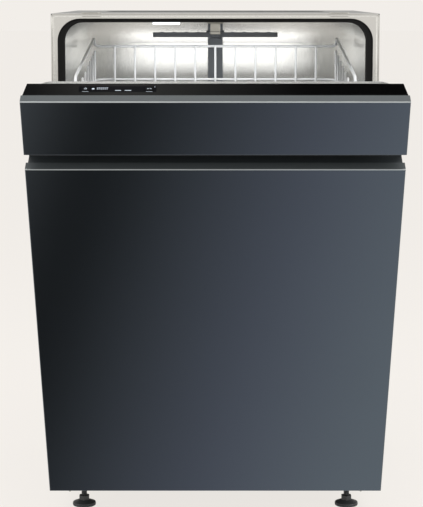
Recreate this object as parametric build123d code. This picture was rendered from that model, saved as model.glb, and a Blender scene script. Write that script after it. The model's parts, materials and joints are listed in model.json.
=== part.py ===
from build123d import *
import os
from math import cos, pi, radians, sin, sqrt

# A fully integrated dishwasher with its door ajar, in millimetres.
# X runs across the width, the front faces -Y and +Z is up.
# Every piece is drawn as it lies with the door shut and the racks pushed in, measured from
# the floor, the middle of the width and the front plane of the tub. The door group is then
# swung open and the racks drawn out, as they are in the rest position.

# Fronts of the door
front_width = 546
front_thickness = 18
front_sheet = 1.2
front_edge_radius = 1.5
upper_front_height = 89
grip_gap = 24
front_top_step = 8

# Body
body_side_step = 8
body_height = 846
body_depth = 550
casing_sheet = 1.0

# Door and its hinge
hinge_drop = 22
hinge_ahead = 7
door_reach = 55
front_drop = 30
door_rest_angle = 28
door_side_step = 7
door_sheet = 1.0
door_body_drop = 24
liner_side_step = 6
liner_corner_radius = 36
liner_flange = 5
pan_side_gap = 14
pan_floor_gap = 10
pan_height_in = 12
pan_corner_radius = 40
pan_draft = 8
pan_top_gap = 3
notch_rise = 16
hinge_zone_gap = 1
seal_gap = 6
running_gap = 0.3

# How far a cut runs past the faces that it opens
past = 1

# Tub
tub_side_gap = 23
tub_sheet = 1.0
tub_top_gap = 14
tub_floor_top = 140
tub_back_gap = 20
tub_corner_radius = 30
frame_sheet = 1.2
frame_drop = 18
frame_corner_radius = 6
frame_notch_rise = 57
seal_width = 12
seal_top_width = 6
seal_thickness = 5.7

# Base, feet and what stands in the base
base_low = 42
base_under_tub = 40
base_wall = 3
base_front = 64
carrier_width = 4
foot_pad_radius = 20
foot_pad_height = 10
foot_rod_radius = 5
foot_rod_top = 84
foot_boss_radius = 13
foot_inset_x = 38
foot_inset_front = 36
foot_inset_rear = 50

# Racks
wire = 4
rim_wire = 5
wire_overhang = 3
wire_butt = 0.6
weld_gap = 0.05
rack_side_gap = 23
rack_pitch = 36.5
cross_pitch = 1.6 * rack_pitch
lower_rack_lift = 40
lower_rack_front = 66
lower_rack_rear_gap = 24
lower_rack_height = 120
upper_rack_drop = 198
upper_rack_front = 32
upper_rack_rear_gap = 35
upper_rack_front_rise = 111
upper_rack_rear_rise = 166
lower_rack_per_radian = 130
upper_rack_per_radian = 290
wheel_radius = 14.7
wheel_width = 10
wheel_bore_gap = 0.06
axle_radius = 4
rail_height = 24
rail_member_gap = 0.4

# Spray arms and the duct that feeds them
lower_arm_side_gap = 24
upper_arm_side_gap = 52
ceiling_arm_reach = 110
arm_duct_gap = 6
duct_half = 14
duct_depth = 16
filter_ahead = 125

# Places worked out from the sizes above
body_width = front_width - 2 * body_side_step
door_body_width = front_width - 2 * door_side_step
liner_width = front_width - 2 * liner_side_step
tub_width = body_width - 2 * tub_side_gap
tub_ceiling = body_height - tub_top_gap
tub_back = body_depth - tub_back_gap
frame_low = tub_floor_top - frame_drop
base_high = tub_floor_top - base_under_tub
base_floor = base_low + base_wall
foot_front_y = base_front + foot_inset_front
foot_rear_y = body_depth - foot_inset_rear
hinge_height = tub_floor_top - hinge_drop
hinge_y = -hinge_ahead
front_y = hinge_y - door_reach
front_back = front_y + front_thickness
front_low = hinge_height - front_drop
front_high = body_height - front_top_step
upper_front_low = front_high - upper_front_height
lower_front_high = upper_front_low - grip_gap
door_body_low = hinge_height - door_body_drop
fascia_depth_below = 20
door_body_high = front_high - fascia_depth_below
fascia_back = hinge_y - liner_flange
liner_in = -seal_gap
liner_out = liner_in - door_sheet
pan_in = liner_in + pan_height_in
pan_width = tub_width - 2 * pan_side_gap
pan_low = tub_floor_top + pan_floor_gap
pan_high = tub_ceiling - pan_top_gap
tub_half = tub_width / 2
body_half = body_width / 2
front_half = front_width / 2
hinge_zone = tub_half + hinge_zone_gap
notch_high = hinge_height + notch_rise
rack_width = tub_width - 2 * rack_side_gap
lower_rack_floor = tub_floor_top + lower_rack_lift
lower_rack_length = tub_back - lower_rack_rear_gap - lower_rack_front
upper_rack_floor = tub_ceiling - upper_rack_drop
upper_rack_length = tub_back - upper_rack_rear_gap - upper_rack_front
upper_rack_front_rim = upper_rack_floor + upper_rack_front_rise
upper_rack_rear_rim = upper_rack_floor + upper_rack_rear_rise
duct_front = tub_back - duct_depth
lower_arm_reach = tub_half - lower_arm_side_gap
upper_arm_reach = tub_half - upper_arm_side_gap
arm_centre_y = duct_front - arm_duct_gap - lower_arm_reach
upper_arm_centre_y = upper_rack_front + upper_rack_length / 2
filter_y = arm_centre_y - filter_ahead
rest_radians = radians(door_rest_angle)
lower_rack_out = lower_rack_per_radian * rest_radians
upper_rack_out = upper_rack_per_radian * rest_radians
top_edge_y = door_reach - front_edge_radius
top_edge_z = front_high - hinge_height - front_edge_radius
front_most = hinge_y - top_edge_y * cos(rest_radians) - top_edge_z * sin(rest_radians) - front_edge_radius
connector_reach = 12
rear_most = body_depth + connector_reach
centre_y = (front_most + rear_most) / 2

nodes = {}


# Helpers

def block(x_low, x_high, y_low, y_high, z_low, z_high):
    """A box between two corners."""
    place = Pos((x_low + x_high) / 2, (y_low + y_high) / 2, (z_low + z_high) / 2)
    return place * Box(x_high - x_low, y_high - y_low, z_high - z_low)


def mirrored(make):
    """The same piece on the left and on the right, from a function of the side."""
    return [make(-1), make(1)]


def side_block(side, x_near, x_far, y_low, y_high, z_low, z_high):
    """A box on one side, its x counted outwards from the middle."""
    x_low, x_high = sorted((side * x_near, side * x_far))
    return block(x_low, x_high, y_low, y_high, z_low, z_high)


def rod(start, end, diameter):
    """A round bar between two points."""
    run = Vector(*end) - Vector(*start)
    return Solid.make_cylinder(diameter / 2, run.length, Plane(origin=start, z_dir=run.normalized()))


def drum(x, y, z_low, z_high, radius):
    """An upright cylinder."""
    return rod((x, y, z_low), (x, y, z_high), 2 * radius)


def weld(bars):
    """One solid from crossing bars."""
    return bars[0].fuse(*bars[1:])


def arch(half_width, low, high, radius):
    """A flat outline with two round top corners."""
    face = Pos(0, (low + high) / 2) * Rectangle(2 * half_width, high - low)
    return fillet(face.vertices().sort_by(Axis.Y)[-2:], radius)


def rounded(half_width, low, high, radius):
    """A flat outline with four round corners."""
    return Pos(0, (low + high) / 2) * RectangleRounded(2 * half_width, high - low, radius)


def upright(outline, y_low, y_high):
    """Stands an outline up across the width, between two depths."""
    return extrude(Plane.XZ.offset(-y_high) * outline, y_high - y_low)


def profile_along_x(points, x_low, x_high):
    """A side profile of (y, z) points, carried along X."""
    face = make_face(Polyline(*[(y, z) for y, z in points], close=True))
    return extrude(Plane.YZ.offset(x_low) * face, x_high - x_low)


def keep(name, *solids):
    """Files a node under its name."""
    nodes[name] = list(solids)


# Tub

def make_tub_wrap():
    """Sides and ceiling of the tub, one bent sheet."""
    low = tub_floor_top
    outside = arch(tub_half + tub_sheet, low, tub_ceiling + tub_sheet, tub_corner_radius + tub_sheet)
    inside = arch(tub_half, low - past, tub_ceiling, tub_corner_radius)
    keep("tub_wrap", upright(outside - inside, frame_sheet, tub_back))


def make_tub_rear_wall():
    """Back wall with one raised field that stiffens it."""
    outline = arch(tub_half + tub_sheet, tub_floor_top, tub_ceiling + tub_sheet, tub_corner_radius)
    wall = upright(outline, tub_back, tub_back + tub_sheet)
    margin = 45
    low = tub_floor_top + 3 * margin
    high = tub_ceiling - margin
    field = rounded(tub_half - margin, low, high, margin)
    core = rounded(tub_half - margin - tub_sheet, low + tub_sheet, high - tub_sheet, margin - tub_sheet)
    depth = 3
    raised = upright(field, tub_back + tub_sheet, tub_back + tub_sheet + depth)
    hollow = upright(core, tub_back, tub_back + depth)
    keep("tub_rear_wall", wall + raised - hollow)


floor_hole_radius = 78
riser_radius = 16
tank_side_gap = 37
tank_x_low = tank_side_gap - tub_half
tank_x_high = -60
tank_length = 190
tank_rear_gap = 30
tank_y_high = body_depth - tank_rear_gap
tank_y_low = tank_y_high - tank_length
salt_inset_x = 55
salt_inset_y = 70
salt_x = tank_x_low + salt_inset_x
salt_y = tank_y_low + salt_inset_y
salt_neck_radius = 30


def make_tub_floor():
    """Floor plate with holes for the filter, the riser and the salt neck."""

    def hole(x, y, radius):
        return drum(x, y, tub_floor_top - tub_sheet - past, tub_floor_top + past, radius)

    plate = block(
        -tub_half - tub_sheet, tub_half + tub_sheet, frame_sheet, tub_back + tub_sheet,
        tub_floor_top - tub_sheet, tub_floor_top,
    )
    plate -= hole(0, filter_y, floor_hole_radius)
    plate -= hole(0, arm_centre_y, riser_radius + running_gap)
    plate -= hole(salt_x, salt_y, salt_neck_radius + running_gap)
    keep("tub_floor", plate)


def make_tub_front_frame():
    """Flat flange round the mouth of the tub, cut away at the hinges."""
    outline = rounded(body_half, frame_low, body_height, frame_corner_radius)
    mouth = arch(tub_half, tub_floor_top, tub_ceiling, tub_corner_radius)
    ring = upright(outline - mouth, 0, frame_sheet)
    for side in (-1, 1):
        ring -= side_block(
            side, bracket_x - running_gap, body_half + past, -past, frame_sheet + past,
            frame_low - past, hinge_height + frame_notch_rise,
        )
    keep("tub_front_frame", ring)


def make_door_seal():
    """Rubber seal up both sides and over the top of the mouth."""
    low = tub_floor_top
    high = tub_ceiling + seal_top_width
    outside = arch(tub_half + seal_width, low, high, tub_corner_radius + seal_top_width)
    mouth = arch(tub_half, low - past, tub_ceiling, tub_corner_radius)
    keep("door_seal", upright(outside - mouth, -seal_thickness, 0))


light_x = -80
light_half = 22
light_front = 30
light_length = 30
light_drop = 4
light_corner = 6


def make_interior_light():
    """Lens of the light under the ceiling."""
    lens = block(
        light_x - light_half, light_x + light_half, light_front, light_front + light_length,
        tub_ceiling - light_drop, tub_ceiling,
    )
    keep("interior_light", fillet(lens.edges().filter_by(Axis.Z), light_corner))


striker_half = 8
striker_drop = 17
striker_z = tub_ceiling - striker_drop
striker_foot_half = 14
striker_foot_front = 6
striker_foot_back = 34
striker_foot_sheet = 2
striker_stem_front = 14
striker_stem_back = 18
striker_reach = 20
striker_rim = 4
striker_tongue_half = 2
striker_window_rear = 6


def make_latch_striker():
    """Hook under the ceiling that the latch of the door grips."""
    foot_low = tub_ceiling - striker_foot_sheet
    low = striker_z - striker_tongue_half
    high = striker_z + striker_tongue_half
    foot = block(
        -striker_foot_half, striker_foot_half, striker_foot_front, striker_foot_back, foot_low, tub_ceiling,
    )
    stem = block(-striker_half, striker_half, striker_stem_front, striker_stem_back, low, foot_low)
    tongue = block(-striker_half, striker_half, -striker_reach, striker_stem_back, low, high)
    window_half = striker_half - striker_rim
    window = block(
        -window_half, window_half, striker_rim - striker_reach, -striker_window_rear, low - past, high + past,
    )
    keep("latch_striker", foot + stem + tongue - window)


dock_drop = 13
dock_radius = 13
dock_gap = 12
ceiling_pipe_height = 14
ceiling_pipe_half = 10
ceiling_pipe_lead = 16
ceiling_arm_drop = 16
ceiling_pin_radius = 7
pin_play = 1
pin_cap_step = 4
ceiling_cap_sheet = 2
dock_z = upper_rack_floor - dock_drop
ceiling_pipe_low = tub_ceiling - ceiling_pipe_height
ceiling_arm_low = ceiling_pipe_low - ceiling_arm_drop


def make_rear_duct():
    """Water duct up the back wall and along the ceiling, with the dock for the upper rack."""
    riser = block(-duct_half, duct_half, duct_front, tub_back, tub_floor_top, tub_ceiling)
    along = block(
        -ceiling_pipe_half, ceiling_pipe_half, upper_arm_centre_y - ceiling_pipe_lead, tub_back,
        ceiling_pipe_low, tub_ceiling,
    )
    dock_front = upper_rack_front + upper_rack_length + dock_gap
    dock = rod((0, dock_front, dock_z), (0, duct_front, dock_z), 2 * dock_radius)
    pin_low = ceiling_arm_low - pin_play
    pin = drum(0, upper_arm_centre_y, pin_low, ceiling_pipe_low, ceiling_pin_radius)
    cap = drum(
        0, upper_arm_centre_y, pin_low - ceiling_cap_sheet, pin_low, ceiling_pin_radius + pin_cap_step,
    )
    keep("rear_duct", riser + along + dock + pin + cap)


blade_taper = 0.55
blade_tip_round = 0.5
blade_share = 0.7


def spray_arm(x, y, z_low, z_high, reach, hub_radius, bore_radius, half_width):
    """A flat two-bladed arm with a round hub and a bore for its pin."""
    tip = half_width * blade_taper
    blade = make_face(Polyline(
        (-reach, -tip), (0, -half_width), (reach, -tip), (reach, tip), (0, half_width), (-reach, tip),
        close=True,
    ))
    tips = blade.vertices().filter_by(lambda v: abs(v.X) > reach / 2)
    blade = fillet(tips, half_width * blade_tip_round)
    arm = Pos(x, y, z_low) * extrude(blade, (z_high - z_low) * blade_share)
    arm += drum(x, y, z_low, z_high, hub_radius)
    return arm - drum(x, y, z_low - past, z_high + past, bore_radius)


lower_arm_gap = 12
lower_arm_thickness = 14
lower_pin_radius = 12
lower_hub_radius = 26
lower_blade_half = 20
lower_arm_low = tub_floor_top + lower_arm_gap
lower_arm_high = lower_arm_low + lower_arm_thickness
upper_arm_drop = 17
upper_arm_thickness = 12
upper_pin_radius = 8
upper_hub_radius = 20
upper_blade_half = 16
upper_arm_high = dock_z - upper_arm_drop
upper_arm_low = upper_arm_high - upper_arm_thickness
ceiling_arm_thickness = 12
ceiling_hub_radius = 16
ceiling_blade_half = 13


def make_spray_arms():
    """Three spray arms: on the tub floor, under the upper rack and under the ceiling."""
    low = spray_arm(
        0, arm_centre_y, lower_arm_low, lower_arm_high, lower_arm_reach, lower_hub_radius,
        lower_pin_radius + wheel_bore_gap, lower_blade_half,
    )
    keep("lower_spray_arm", low)
    middle = spray_arm(
        0, upper_arm_centre_y, upper_arm_low, upper_arm_high, upper_arm_reach, upper_hub_radius,
        upper_pin_radius + wheel_bore_gap, upper_blade_half,
    )
    keep("upper_spray_arm", middle)
    top = spray_arm(
        0, upper_arm_centre_y, ceiling_arm_low, ceiling_arm_low + ceiling_arm_thickness, ceiling_arm_reach,
        ceiling_hub_radius, ceiling_pin_radius + wheel_bore_gap, ceiling_blade_half,
    )
    keep("ceiling_spray_arm", top)


rail_out = tub_half
rail_outer = 8
rail_member = 4.8
rail_front = 15
rail_lift = 20
rail_groove_half = 4
rail_groove_depth = 3
rail_lip = 2
slide_lead = 10
slide_rear_gap = 20
rail_z = upper_rack_floor + rail_lift


def make_rails():
    """Telescopic rails of the upper rack: outer members on the tub, sliding members between."""
    y_high = upper_rack_front + upper_rack_length

    def outer(side):
        near = rail_out - rail_outer
        half = rail_height / 2
        rail = side_block(side, near, rail_out, rail_front, y_high, rail_z - half, rail_z + half)
        groove = side_block(
            side, near - past, near + rail_groove_depth, rail_front - past, y_high + past,
            rail_z - rail_groove_half, rail_z + rail_groove_half,
        )
        return rail - groove

    def sliding(side):
        far = rail_out - rail_outer - rail_member_gap
        near = far - rail_member
        half = rail_height / 2 - rail_lip
        return side_block(
            side, near, far, rail_front + slide_lead, y_high - slide_rear_gap, rail_z - half, rail_z + half,
        )

    keep("upper_rails", *mirrored(outer))
    keep("rail_slides", *mirrored(sliding))


# Casing and base

side_skirt = 40


def make_casing():
    """Side sheets with a recess at the toe for the door, rear sheet and top sheet."""
    low = base_high - side_skirt

    def side_panel(side):
        panel = side_block(
            side, body_half - casing_sheet, body_half, frame_sheet, body_depth - casing_sheet,
            low, body_height - casing_sheet,
        )
        panel -= side_block(
            side, body_half - 2 * casing_sheet, body_half + past, frame_sheet - past, base_front,
            low - past, base_high,
        )
        for y, z in side_screw_places():
            inner = side * (body_half - casing_sheet - past)
            panel -= rod((inner, y, z), (side * (body_half + past), y, z), 2 * screw_radius)
        return panel

    keep("left_side_panel", side_panel(-1))
    keep("right_side_panel", side_panel(1))
    rear = block(
        -body_half, body_half, body_depth - casing_sheet, body_depth,
        base_high, body_height - casing_sheet,
    )
    keep("rear_panel", rear)
    top = block(-body_half, body_half, frame_sheet, body_depth, body_height - casing_sheet, body_height)
    keep("top_cover", top)


tab_x = 200
tab_half = 15
tab_front = 14
tab_back = 30
tab_corner = 4
tab_sheet = 1.5
tab_hole_front = 6
tab_hole_radius = 2.6


def make_worktop_brackets():
    """Two screw tabs on the front edge of the top sheet."""

    def tab(side):
        centre = side * tab_x
        high = body_height + tab_sheet
        plate = block(centre - tab_half, centre + tab_half, -tab_front, tab_back, body_height, high)
        plate = fillet(plate.edges().filter_by(Axis.Z), tab_corner)
        return plate - drum(centre, -tab_hole_front, body_height - past, high + past, tab_hole_radius)

    keep("worktop_brackets", *mirrored(tab))


screw_radius = 2
screw_play = 0.2
screw_length = 3
screw_head_radius = 4
screw_head_height = 1.8
screw_hole_depth = 6
screw_drop = 18
screw_from_foot = 10


def side_screw_places():
    """Depth and height of the screws that hold a side sheet to the base."""
    first = foot_front_y + screw_from_foot
    last = foot_rear_y - screw_from_foot
    return [(y, base_high - screw_drop) for y in (first, (first + last) / 2, last)]


def make_casing_screws():
    """Screws through the side sheets into the base."""
    screws = []
    for side in (-1, 1):
        face = side * body_half
        root = side * (body_half - screw_length)
        tip = side * (body_half + screw_head_height)
        for y, z in side_screw_places():
            shank = rod((root, y, z), (face, y, z), 2 * screw_radius - screw_play)
            head = rod((face, y, z), (tip, y, z), 2 * screw_head_radius)
            screws.append(shank.fuse(head))
    keep("casing_screws", *screws)


valve_inset = 75
valve_x = body_half - valve_inset
valve_z = 72
spigot_inset = 65
spigot_x = spigot_inset - body_half
spigot_z = 72
inlet_x = 80
inlet_z = 72
inlet_half_x = 20
inlet_half_z = 14
inlet_play = 0.3
valve_stub_radius = 13.2
valve_nut_radius = 16
spigot_radius = 10.5
spigot_shoulder_radius = 14
spigot_collar_radius = 17
spigot_collar = 5
passage_gap = 0.5


def foot_places():
    """Centres of the four feet."""
    x = body_half - foot_inset_x
    return [(-x, foot_front_y), (x, foot_front_y), (-x, foot_rear_y), (x, foot_rear_y)]


carrier_inset = 2
carrier_rear_gap = 1
corner_block = 34
boss_drop = 4
rod_play = 0.05


def make_base_tray():
    """Moulded base: floor, outer walls, two walls that carry the tub and four foot bosses."""
    wide = body_half - casing_sheet
    rear = body_depth - casing_sheet
    tray = block(-wide, wide, base_front, rear, base_low, base_high)
    tray -= block(
        -wide + base_wall, wide - base_wall, base_front + base_wall, rear - base_wall,
        base_floor, base_high + past,
    )
    carrier_out = tub_half - carrier_inset
    for side in (-1, 1):
        tray += side_block(
            side, carrier_out - carrier_width, carrier_out, base_front, rear - carrier_rear_gap,
            base_low, tub_floor_top - tub_sheet,
        )
        tray += side_block(
            side, bracket_x + bracket_sheet, wide, base_front, base_front + corner_block, base_low, base_high,
        )
        tray -= side_block(
            side, bracket_x - running_gap, bracket_x + bracket_sheet, base_front - past,
            base_front + corner_block + past, base_floor, base_high + past,
        )
        for y, z in side_screw_places():
            inner = side * (body_half - screw_hole_depth)
            tray -= rod((inner, y, z), (side * (body_half + past), y, z), 2 * screw_radius)
    for x, y in foot_places():
        tray += drum(x, y, base_low, foot_rod_top - boss_drop, foot_boss_radius)
        tray -= drum(x, y, base_low - past, foot_rod_top + past, foot_rod_radius + rod_play)
    for x, z, radius in ((valve_x, valve_z, valve_nut_radius), (spigot_x, spigot_z, spigot_shoulder_radius)):
        tray -= rod((x, rear - base_wall - past, z), (x, rear + past, z), 2 * (radius + passage_gap))
    tray -= block(
        inlet_x - inlet_half_x, inlet_x + inlet_half_x, rear - base_wall - past, rear + past,
        inlet_z - inlet_half_z, inlet_z + inlet_half_z,
    )
    keep("base_tray", tray)


foot_hexagon_radius = 10
foot_hexagon_height = 8


def make_feet():
    """Screw feet with a pad and a threaded rod: two single ones in front, a pair at the rear."""
    feet = []
    for x, y in foot_places():
        pad = drum(x, y, 0, foot_pad_height, foot_pad_radius)
        outline = Pos(x, y, foot_pad_height) * RegularPolygon(foot_hexagon_radius, 6)
        hexagon = extrude(outline, foot_hexagon_height)
        stem = drum(x, y, foot_pad_height, foot_rod_top, foot_rod_radius)
        feet.append(pad.fuse(stem) + hexagon)
    keep("front_foot_left", feet[0])
    keep("front_foot_right", feet[1])
    keep("rear_feet", feet[2], feet[3])


sump_cup_radius = 42
sump_wall = 3
sump_lift = 18
sump_low = base_floor + sump_lift
sump_flange_lap = 12
sump_flange_sheet = 4
channel_half = 18
channel_lift = 8
channel_height = 30
lower_cap_sheet = 3


def make_sump():
    """Sump cup under the filter, joined by a channel to the riser of the lower spray arm."""
    under = tub_floor_top - tub_sheet
    channel_low = sump_low + channel_lift
    pin_low = lower_arm_low - pin_play
    pin_high = lower_arm_high + pin_play
    cup = drum(0, filter_y, sump_low, under, sump_cup_radius + sump_wall)
    flange = drum(0, filter_y, under - sump_flange_sheet, under, floor_hole_radius + sump_flange_lap)
    channel = block(
        -channel_half, channel_half, filter_y, arm_centre_y, channel_low, channel_low + channel_height,
    )
    riser = drum(0, arm_centre_y, channel_low, pin_low, riser_radius)
    pin = drum(0, arm_centre_y, pin_low, pin_high, lower_pin_radius)
    cap = drum(0, arm_centre_y, pin_high, pin_high + lower_cap_sheet, lower_pin_radius + pin_cap_step)
    body = cup.fuse(flange, Solid(channel.wrapped), riser, pin, cap)
    keep("sump", body - drum(0, filter_y, sump_low + sump_wall, under + past, sump_cup_radius))


filter_radius = 38
filter_wall = 2
filter_rise = 9
filter_plate_sheet = 1.2
filter_plate_lap = 10
filter_bar_half = 3
filter_bar_height = 10


def make_filters():
    """Flat filter plate on the tub floor and the filter cylinder that turns in it."""
    plate_high = tub_floor_top + filter_plate_sheet
    plate = drum(0, filter_y, tub_floor_top, plate_high, floor_hole_radius + filter_plate_lap)
    hole = drum(0, filter_y, tub_floor_top - past, plate_high + past, filter_radius + running_gap)
    keep("filter_plate", plate - hole)
    low = sump_low + sump_wall + running_gap
    high = tub_floor_top + filter_rise
    inside = filter_radius - filter_wall
    tube = drum(0, filter_y, low, high, filter_radius)
    tube -= drum(0, filter_y, low + filter_wall, high + past, inside)
    bar = block(
        -inside, inside, filter_y - filter_bar_half, filter_y + filter_bar_half,
        high - filter_bar_height, high,
    )
    keep("filter_cylinder", tube + bar)


salt_neck_rise = 3
salt_neck_wall = 4
salt_bore_depth = 40
salt_cap_seat = 0.1
salt_cap_height = 5
salt_cap_lap = 4
salt_plug_length = 12
salt_plug_play = 0.05
salt_slot_half = 22
salt_slot_width = 4
salt_slot_depth = 2.5
tank_top_gap = 12
tank_corner = 12


def make_salt_container():
    """Water softener with its salt neck through the tub floor, and the screw cap."""
    tank_high = tub_floor_top - tank_top_gap
    neck_high = tub_floor_top + salt_neck_rise
    tank = block(tank_x_low, tank_x_high, tank_y_low, tank_y_high, base_floor, tank_high)
    tank = fillet(tank.edges().filter_by(Axis.Z), tank_corner)
    neck = drum(salt_x, salt_y, tank_high, neck_high, salt_neck_radius)
    bore_radius = salt_neck_radius - salt_neck_wall
    bore = drum(salt_x, salt_y, tub_floor_top - salt_bore_depth, neck_high + past, bore_radius)
    keep("water_softener", tank + neck - bore)
    seat = neck_high + salt_cap_seat
    high = neck_high + salt_cap_height
    disc = drum(salt_x, salt_y, seat, high, salt_neck_radius + salt_cap_lap)
    plug = drum(salt_x, salt_y, neck_high - salt_plug_length, seat, bore_radius - salt_plug_play)
    slot = block(
        salt_x - salt_slot_half, salt_x + salt_slot_half, salt_y - salt_slot_width / 2,
        salt_y + salt_slot_width / 2, high - salt_slot_depth, high + past,
    )
    keep("salt_cap", disc.fuse(plug) - slot)


saddle_inset = 0.2
saddle_width = 0.8


def lying_motor(x_low, x_high, y, z, radius):
    """A motor lying along X on a saddle."""
    can = rod((x_low, y, z), (x_high, y, z), 2 * radius)
    inset = saddle_inset * (x_high - x_low)
    half = saddle_width * radius
    return block(x_low + inset, x_high - inset, y - half, y + half, base_floor, z) + can


pump_head_room = 7
pump_floor_gap = 1
pump_motor_step = 4
pump_ring_x = 34
pump_motor_x = 60
pump_length = 120
pump_behind_arm = 90
drain_pump_length = 100
drain_pump_radius = 24
drain_pump_side_gap = 52
drain_pump_inset = 56
drain_pump_lift = 7
nozzle_gap = 20
nozzle_radius = 10


def make_pumps():
    """Circulation pump with its heating ring, and the drain pump, on the floor of the base."""
    ring_radius = (tub_floor_top - tub_sheet - base_floor) / 2 - pump_head_room
    y = arm_centre_y + pump_behind_arm
    z = base_floor + ring_radius + pump_floor_gap
    motor_radius = ring_radius - pump_motor_step
    pump = lying_motor(pump_motor_x, pump_motor_x + pump_length, y, z, motor_radius)
    heating_ring = rod((pump_ring_x, y, z), (pump_motor_x, y, z), 2 * ring_radius)
    keep("circulation_pump", pump + heating_ring)
    x_low = drain_pump_side_gap - tub_half
    x_high = x_low + drain_pump_length
    y = base_front + drain_pump_inset
    z = base_floor + drain_pump_radius + drain_pump_lift
    drain = lying_motor(x_low, x_high, y, z, drain_pump_radius)
    nozzle = rod((x_high, y, z), (-sump_cup_radius - nozzle_gap, y, z), 2 * nozzle_radius)
    keep("drain_pump", drain + nozzle)


valve_half = 22
valve_depth = 45
valve_stub_wall = 4
spigot_wall = 2.5
inlet_depth = 30
recess_half_x = 14
recess_half_z = 9
recess_depth = 18
contact_pitch = 8
contact_root = 20
contact_tip = 6
contact_diameter = 4


def make_connectors():
    """Water inlet valve, drain spigot and power inlet at the back of the base."""
    rear = body_depth - casing_sheet
    inner = rear - base_wall

    def along_y(x, z, y_low, y_high, radius):
        return rod((x, y_low, z), (x, y_high, z), 2 * radius)

    valve = block(
        valve_x - valve_half, valve_x + valve_half, rear - valve_depth, inner,
        base_floor, valve_z + valve_half,
    )
    valve += along_y(valve_x, valve_z, inner, body_depth, valve_nut_radius)
    valve += along_y(valve_x, valve_z, body_depth, rear_most, valve_stub_radius)
    bore = along_y(valve_x, valve_z, inner, rear_most + past, valve_stub_radius - valve_stub_wall)
    keep("water_inlet_valve", valve - bore)
    collar = along_y(spigot_x, spigot_z, inner - spigot_collar, inner, spigot_collar_radius)
    shoulder = along_y(spigot_x, spigot_z, inner, body_depth, spigot_shoulder_radius)
    spigot = along_y(spigot_x, spigot_z, body_depth, rear_most, spigot_radius)
    start = inner - spigot_collar - past
    bore = along_y(spigot_x, spigot_z, start, rear_most + past, spigot_radius - spigot_wall)
    keep("drain_spigot", collar.fuse(shoulder, spigot) - bore)
    half_x = inlet_half_x - inlet_play
    half_z = inlet_half_z - inlet_play
    socket = block(
        inlet_x - half_x, inlet_x + half_x, rear - inlet_depth, rear, inlet_z - half_z, inlet_z + half_z,
    )
    recess = block(
        inlet_x - recess_half_x, inlet_x + recess_half_x, rear - recess_depth, rear + past,
        inlet_z - recess_half_z, inlet_z + recess_half_z,
    )
    contacts = [
        rod((x, rear - contact_root, inlet_z), (x, rear - contact_tip, inlet_z), contact_diameter)
        for x in (inlet_x - contact_pitch, inlet_x, inlet_x + contact_pitch)
    ]
    keep("power_inlet", socket - recess + contacts)


# Hinges of the door

bracket_gap = 2
bracket_x = tub_half + bracket_gap
bracket_sheet = 3
bracket_eye = 11
bracket_neck = 16
bracket_neck_drop = 22
arm_side_gap = 1.5
arm_x = bracket_x + bracket_sheet + arm_side_gap
arm_sheet = 3
arm_gap = 3
arm_rise = 120
arm_flange_lift = 40
pin_fit = 0.05
pin_stand_out = 2
shoulder_radius = 8
shoulder_gap = 0.2
pin_radius = 4
stud_radius = 2.5
lug_y = 30
lug_z = -30
anchor_z = 50
anchor_below = 5
anchor_ahead = 7
spring_side_gap = 15
spring_x = tub_half + spring_side_gap
stud_past_spring = 4


def hinge_spin(y, z, angle):
    """A point of the door, counted from the hinge axis, after the door has turned."""
    turn = radians(angle)
    return hinge_y + y * cos(turn) - z * sin(turn), hinge_height + z * cos(turn) + y * sin(turn)


lug_rest_y, lug_rest_z = hinge_spin(lug_y, lug_z, door_rest_angle)


def make_hinge_brackets():
    """A steel plate each side, with the hinge pin and the lower spring stud."""
    back = base_front + corner_block
    low = anchor_z - anchor_below
    front = lug_rest_y - anchor_ahead
    eye_low = hinge_height - bracket_eye
    eye_high = hinge_height + bracket_eye
    outline = [
        (hinge_y - bracket_eye, eye_low), (hinge_y - bracket_eye, eye_high), (back, eye_high), (back, low),
        (front, low), (front, hinge_height - bracket_neck_drop), (hinge_y + bracket_neck, eye_low),
    ]

    def bracket(side):
        near = side * bracket_x
        face = side * (bracket_x + bracket_sheet)
        plate = profile_along_x(outline, *sorted((near, face)))
        pin_end = side * (arm_x + arm_sheet + pin_stand_out)
        pin = rod((near, hinge_y, hinge_height), (pin_end, hinge_y, hinge_height), 2 * pin_radius)
        shoulder_end = side * (arm_x - shoulder_gap)
        shoulder = rod(
            (face, hinge_y, hinge_height), (shoulder_end, hinge_y, hinge_height), 2 * shoulder_radius,
        )
        stud_end = side * (spring_x + stud_past_spring)
        stud = rod((face, lug_rest_y, anchor_z), (stud_end, lug_rest_y, anchor_z), 2 * stud_radius)
        return plate + pin + shoulder + stud

    keep("hinge_brackets", *mirrored(bracket))


def make_hinge_arms():
    """A steel lever each side that carries the door on the pin and pulls on the spring."""
    front = front_back + arm_gap
    back = liner_out - arm_gap
    top = hinge_height + arm_rise
    stud_y = hinge_y + lug_y
    stud_z = hinge_height + lug_z
    outline = [
        (front, notch_high), (front, top), (back, top), (back, notch_high - 2),
        (hinge_y + 9, hinge_height + 4), (stud_y + 6, stud_z + 5), (stud_y + 4, stud_z - 6),
        (stud_y - 8, stud_z - 4), (hinge_y - 7, hinge_height - 7), (front_back + 24, notch_high),
    ]

    def arm(side):
        near = side * arm_x
        face = side * (arm_x + arm_sheet)
        plate = profile_along_x(outline, *sorted((near, face)))
        bore_start = (side * (arm_x - past), hinge_y, hinge_height)
        bore_end = (side * (arm_x + arm_sheet + past), hinge_y, hinge_height)
        plate -= rod(bore_start, bore_end, 2 * (pin_radius + pin_fit))
        plate += side_block(
            side, arm_x + arm_sheet, door_body_width / 2 - door_sheet, front, front + arm_sheet,
            hinge_height + arm_flange_lift, top,
        )
        stud_end = side * (spring_x + stud_past_spring)
        return plate + rod((face, stud_y, stud_z), (stud_end, stud_y, stud_z), 2 * stud_radius)

    keep("hinge_arms", *mirrored(arm))


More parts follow.
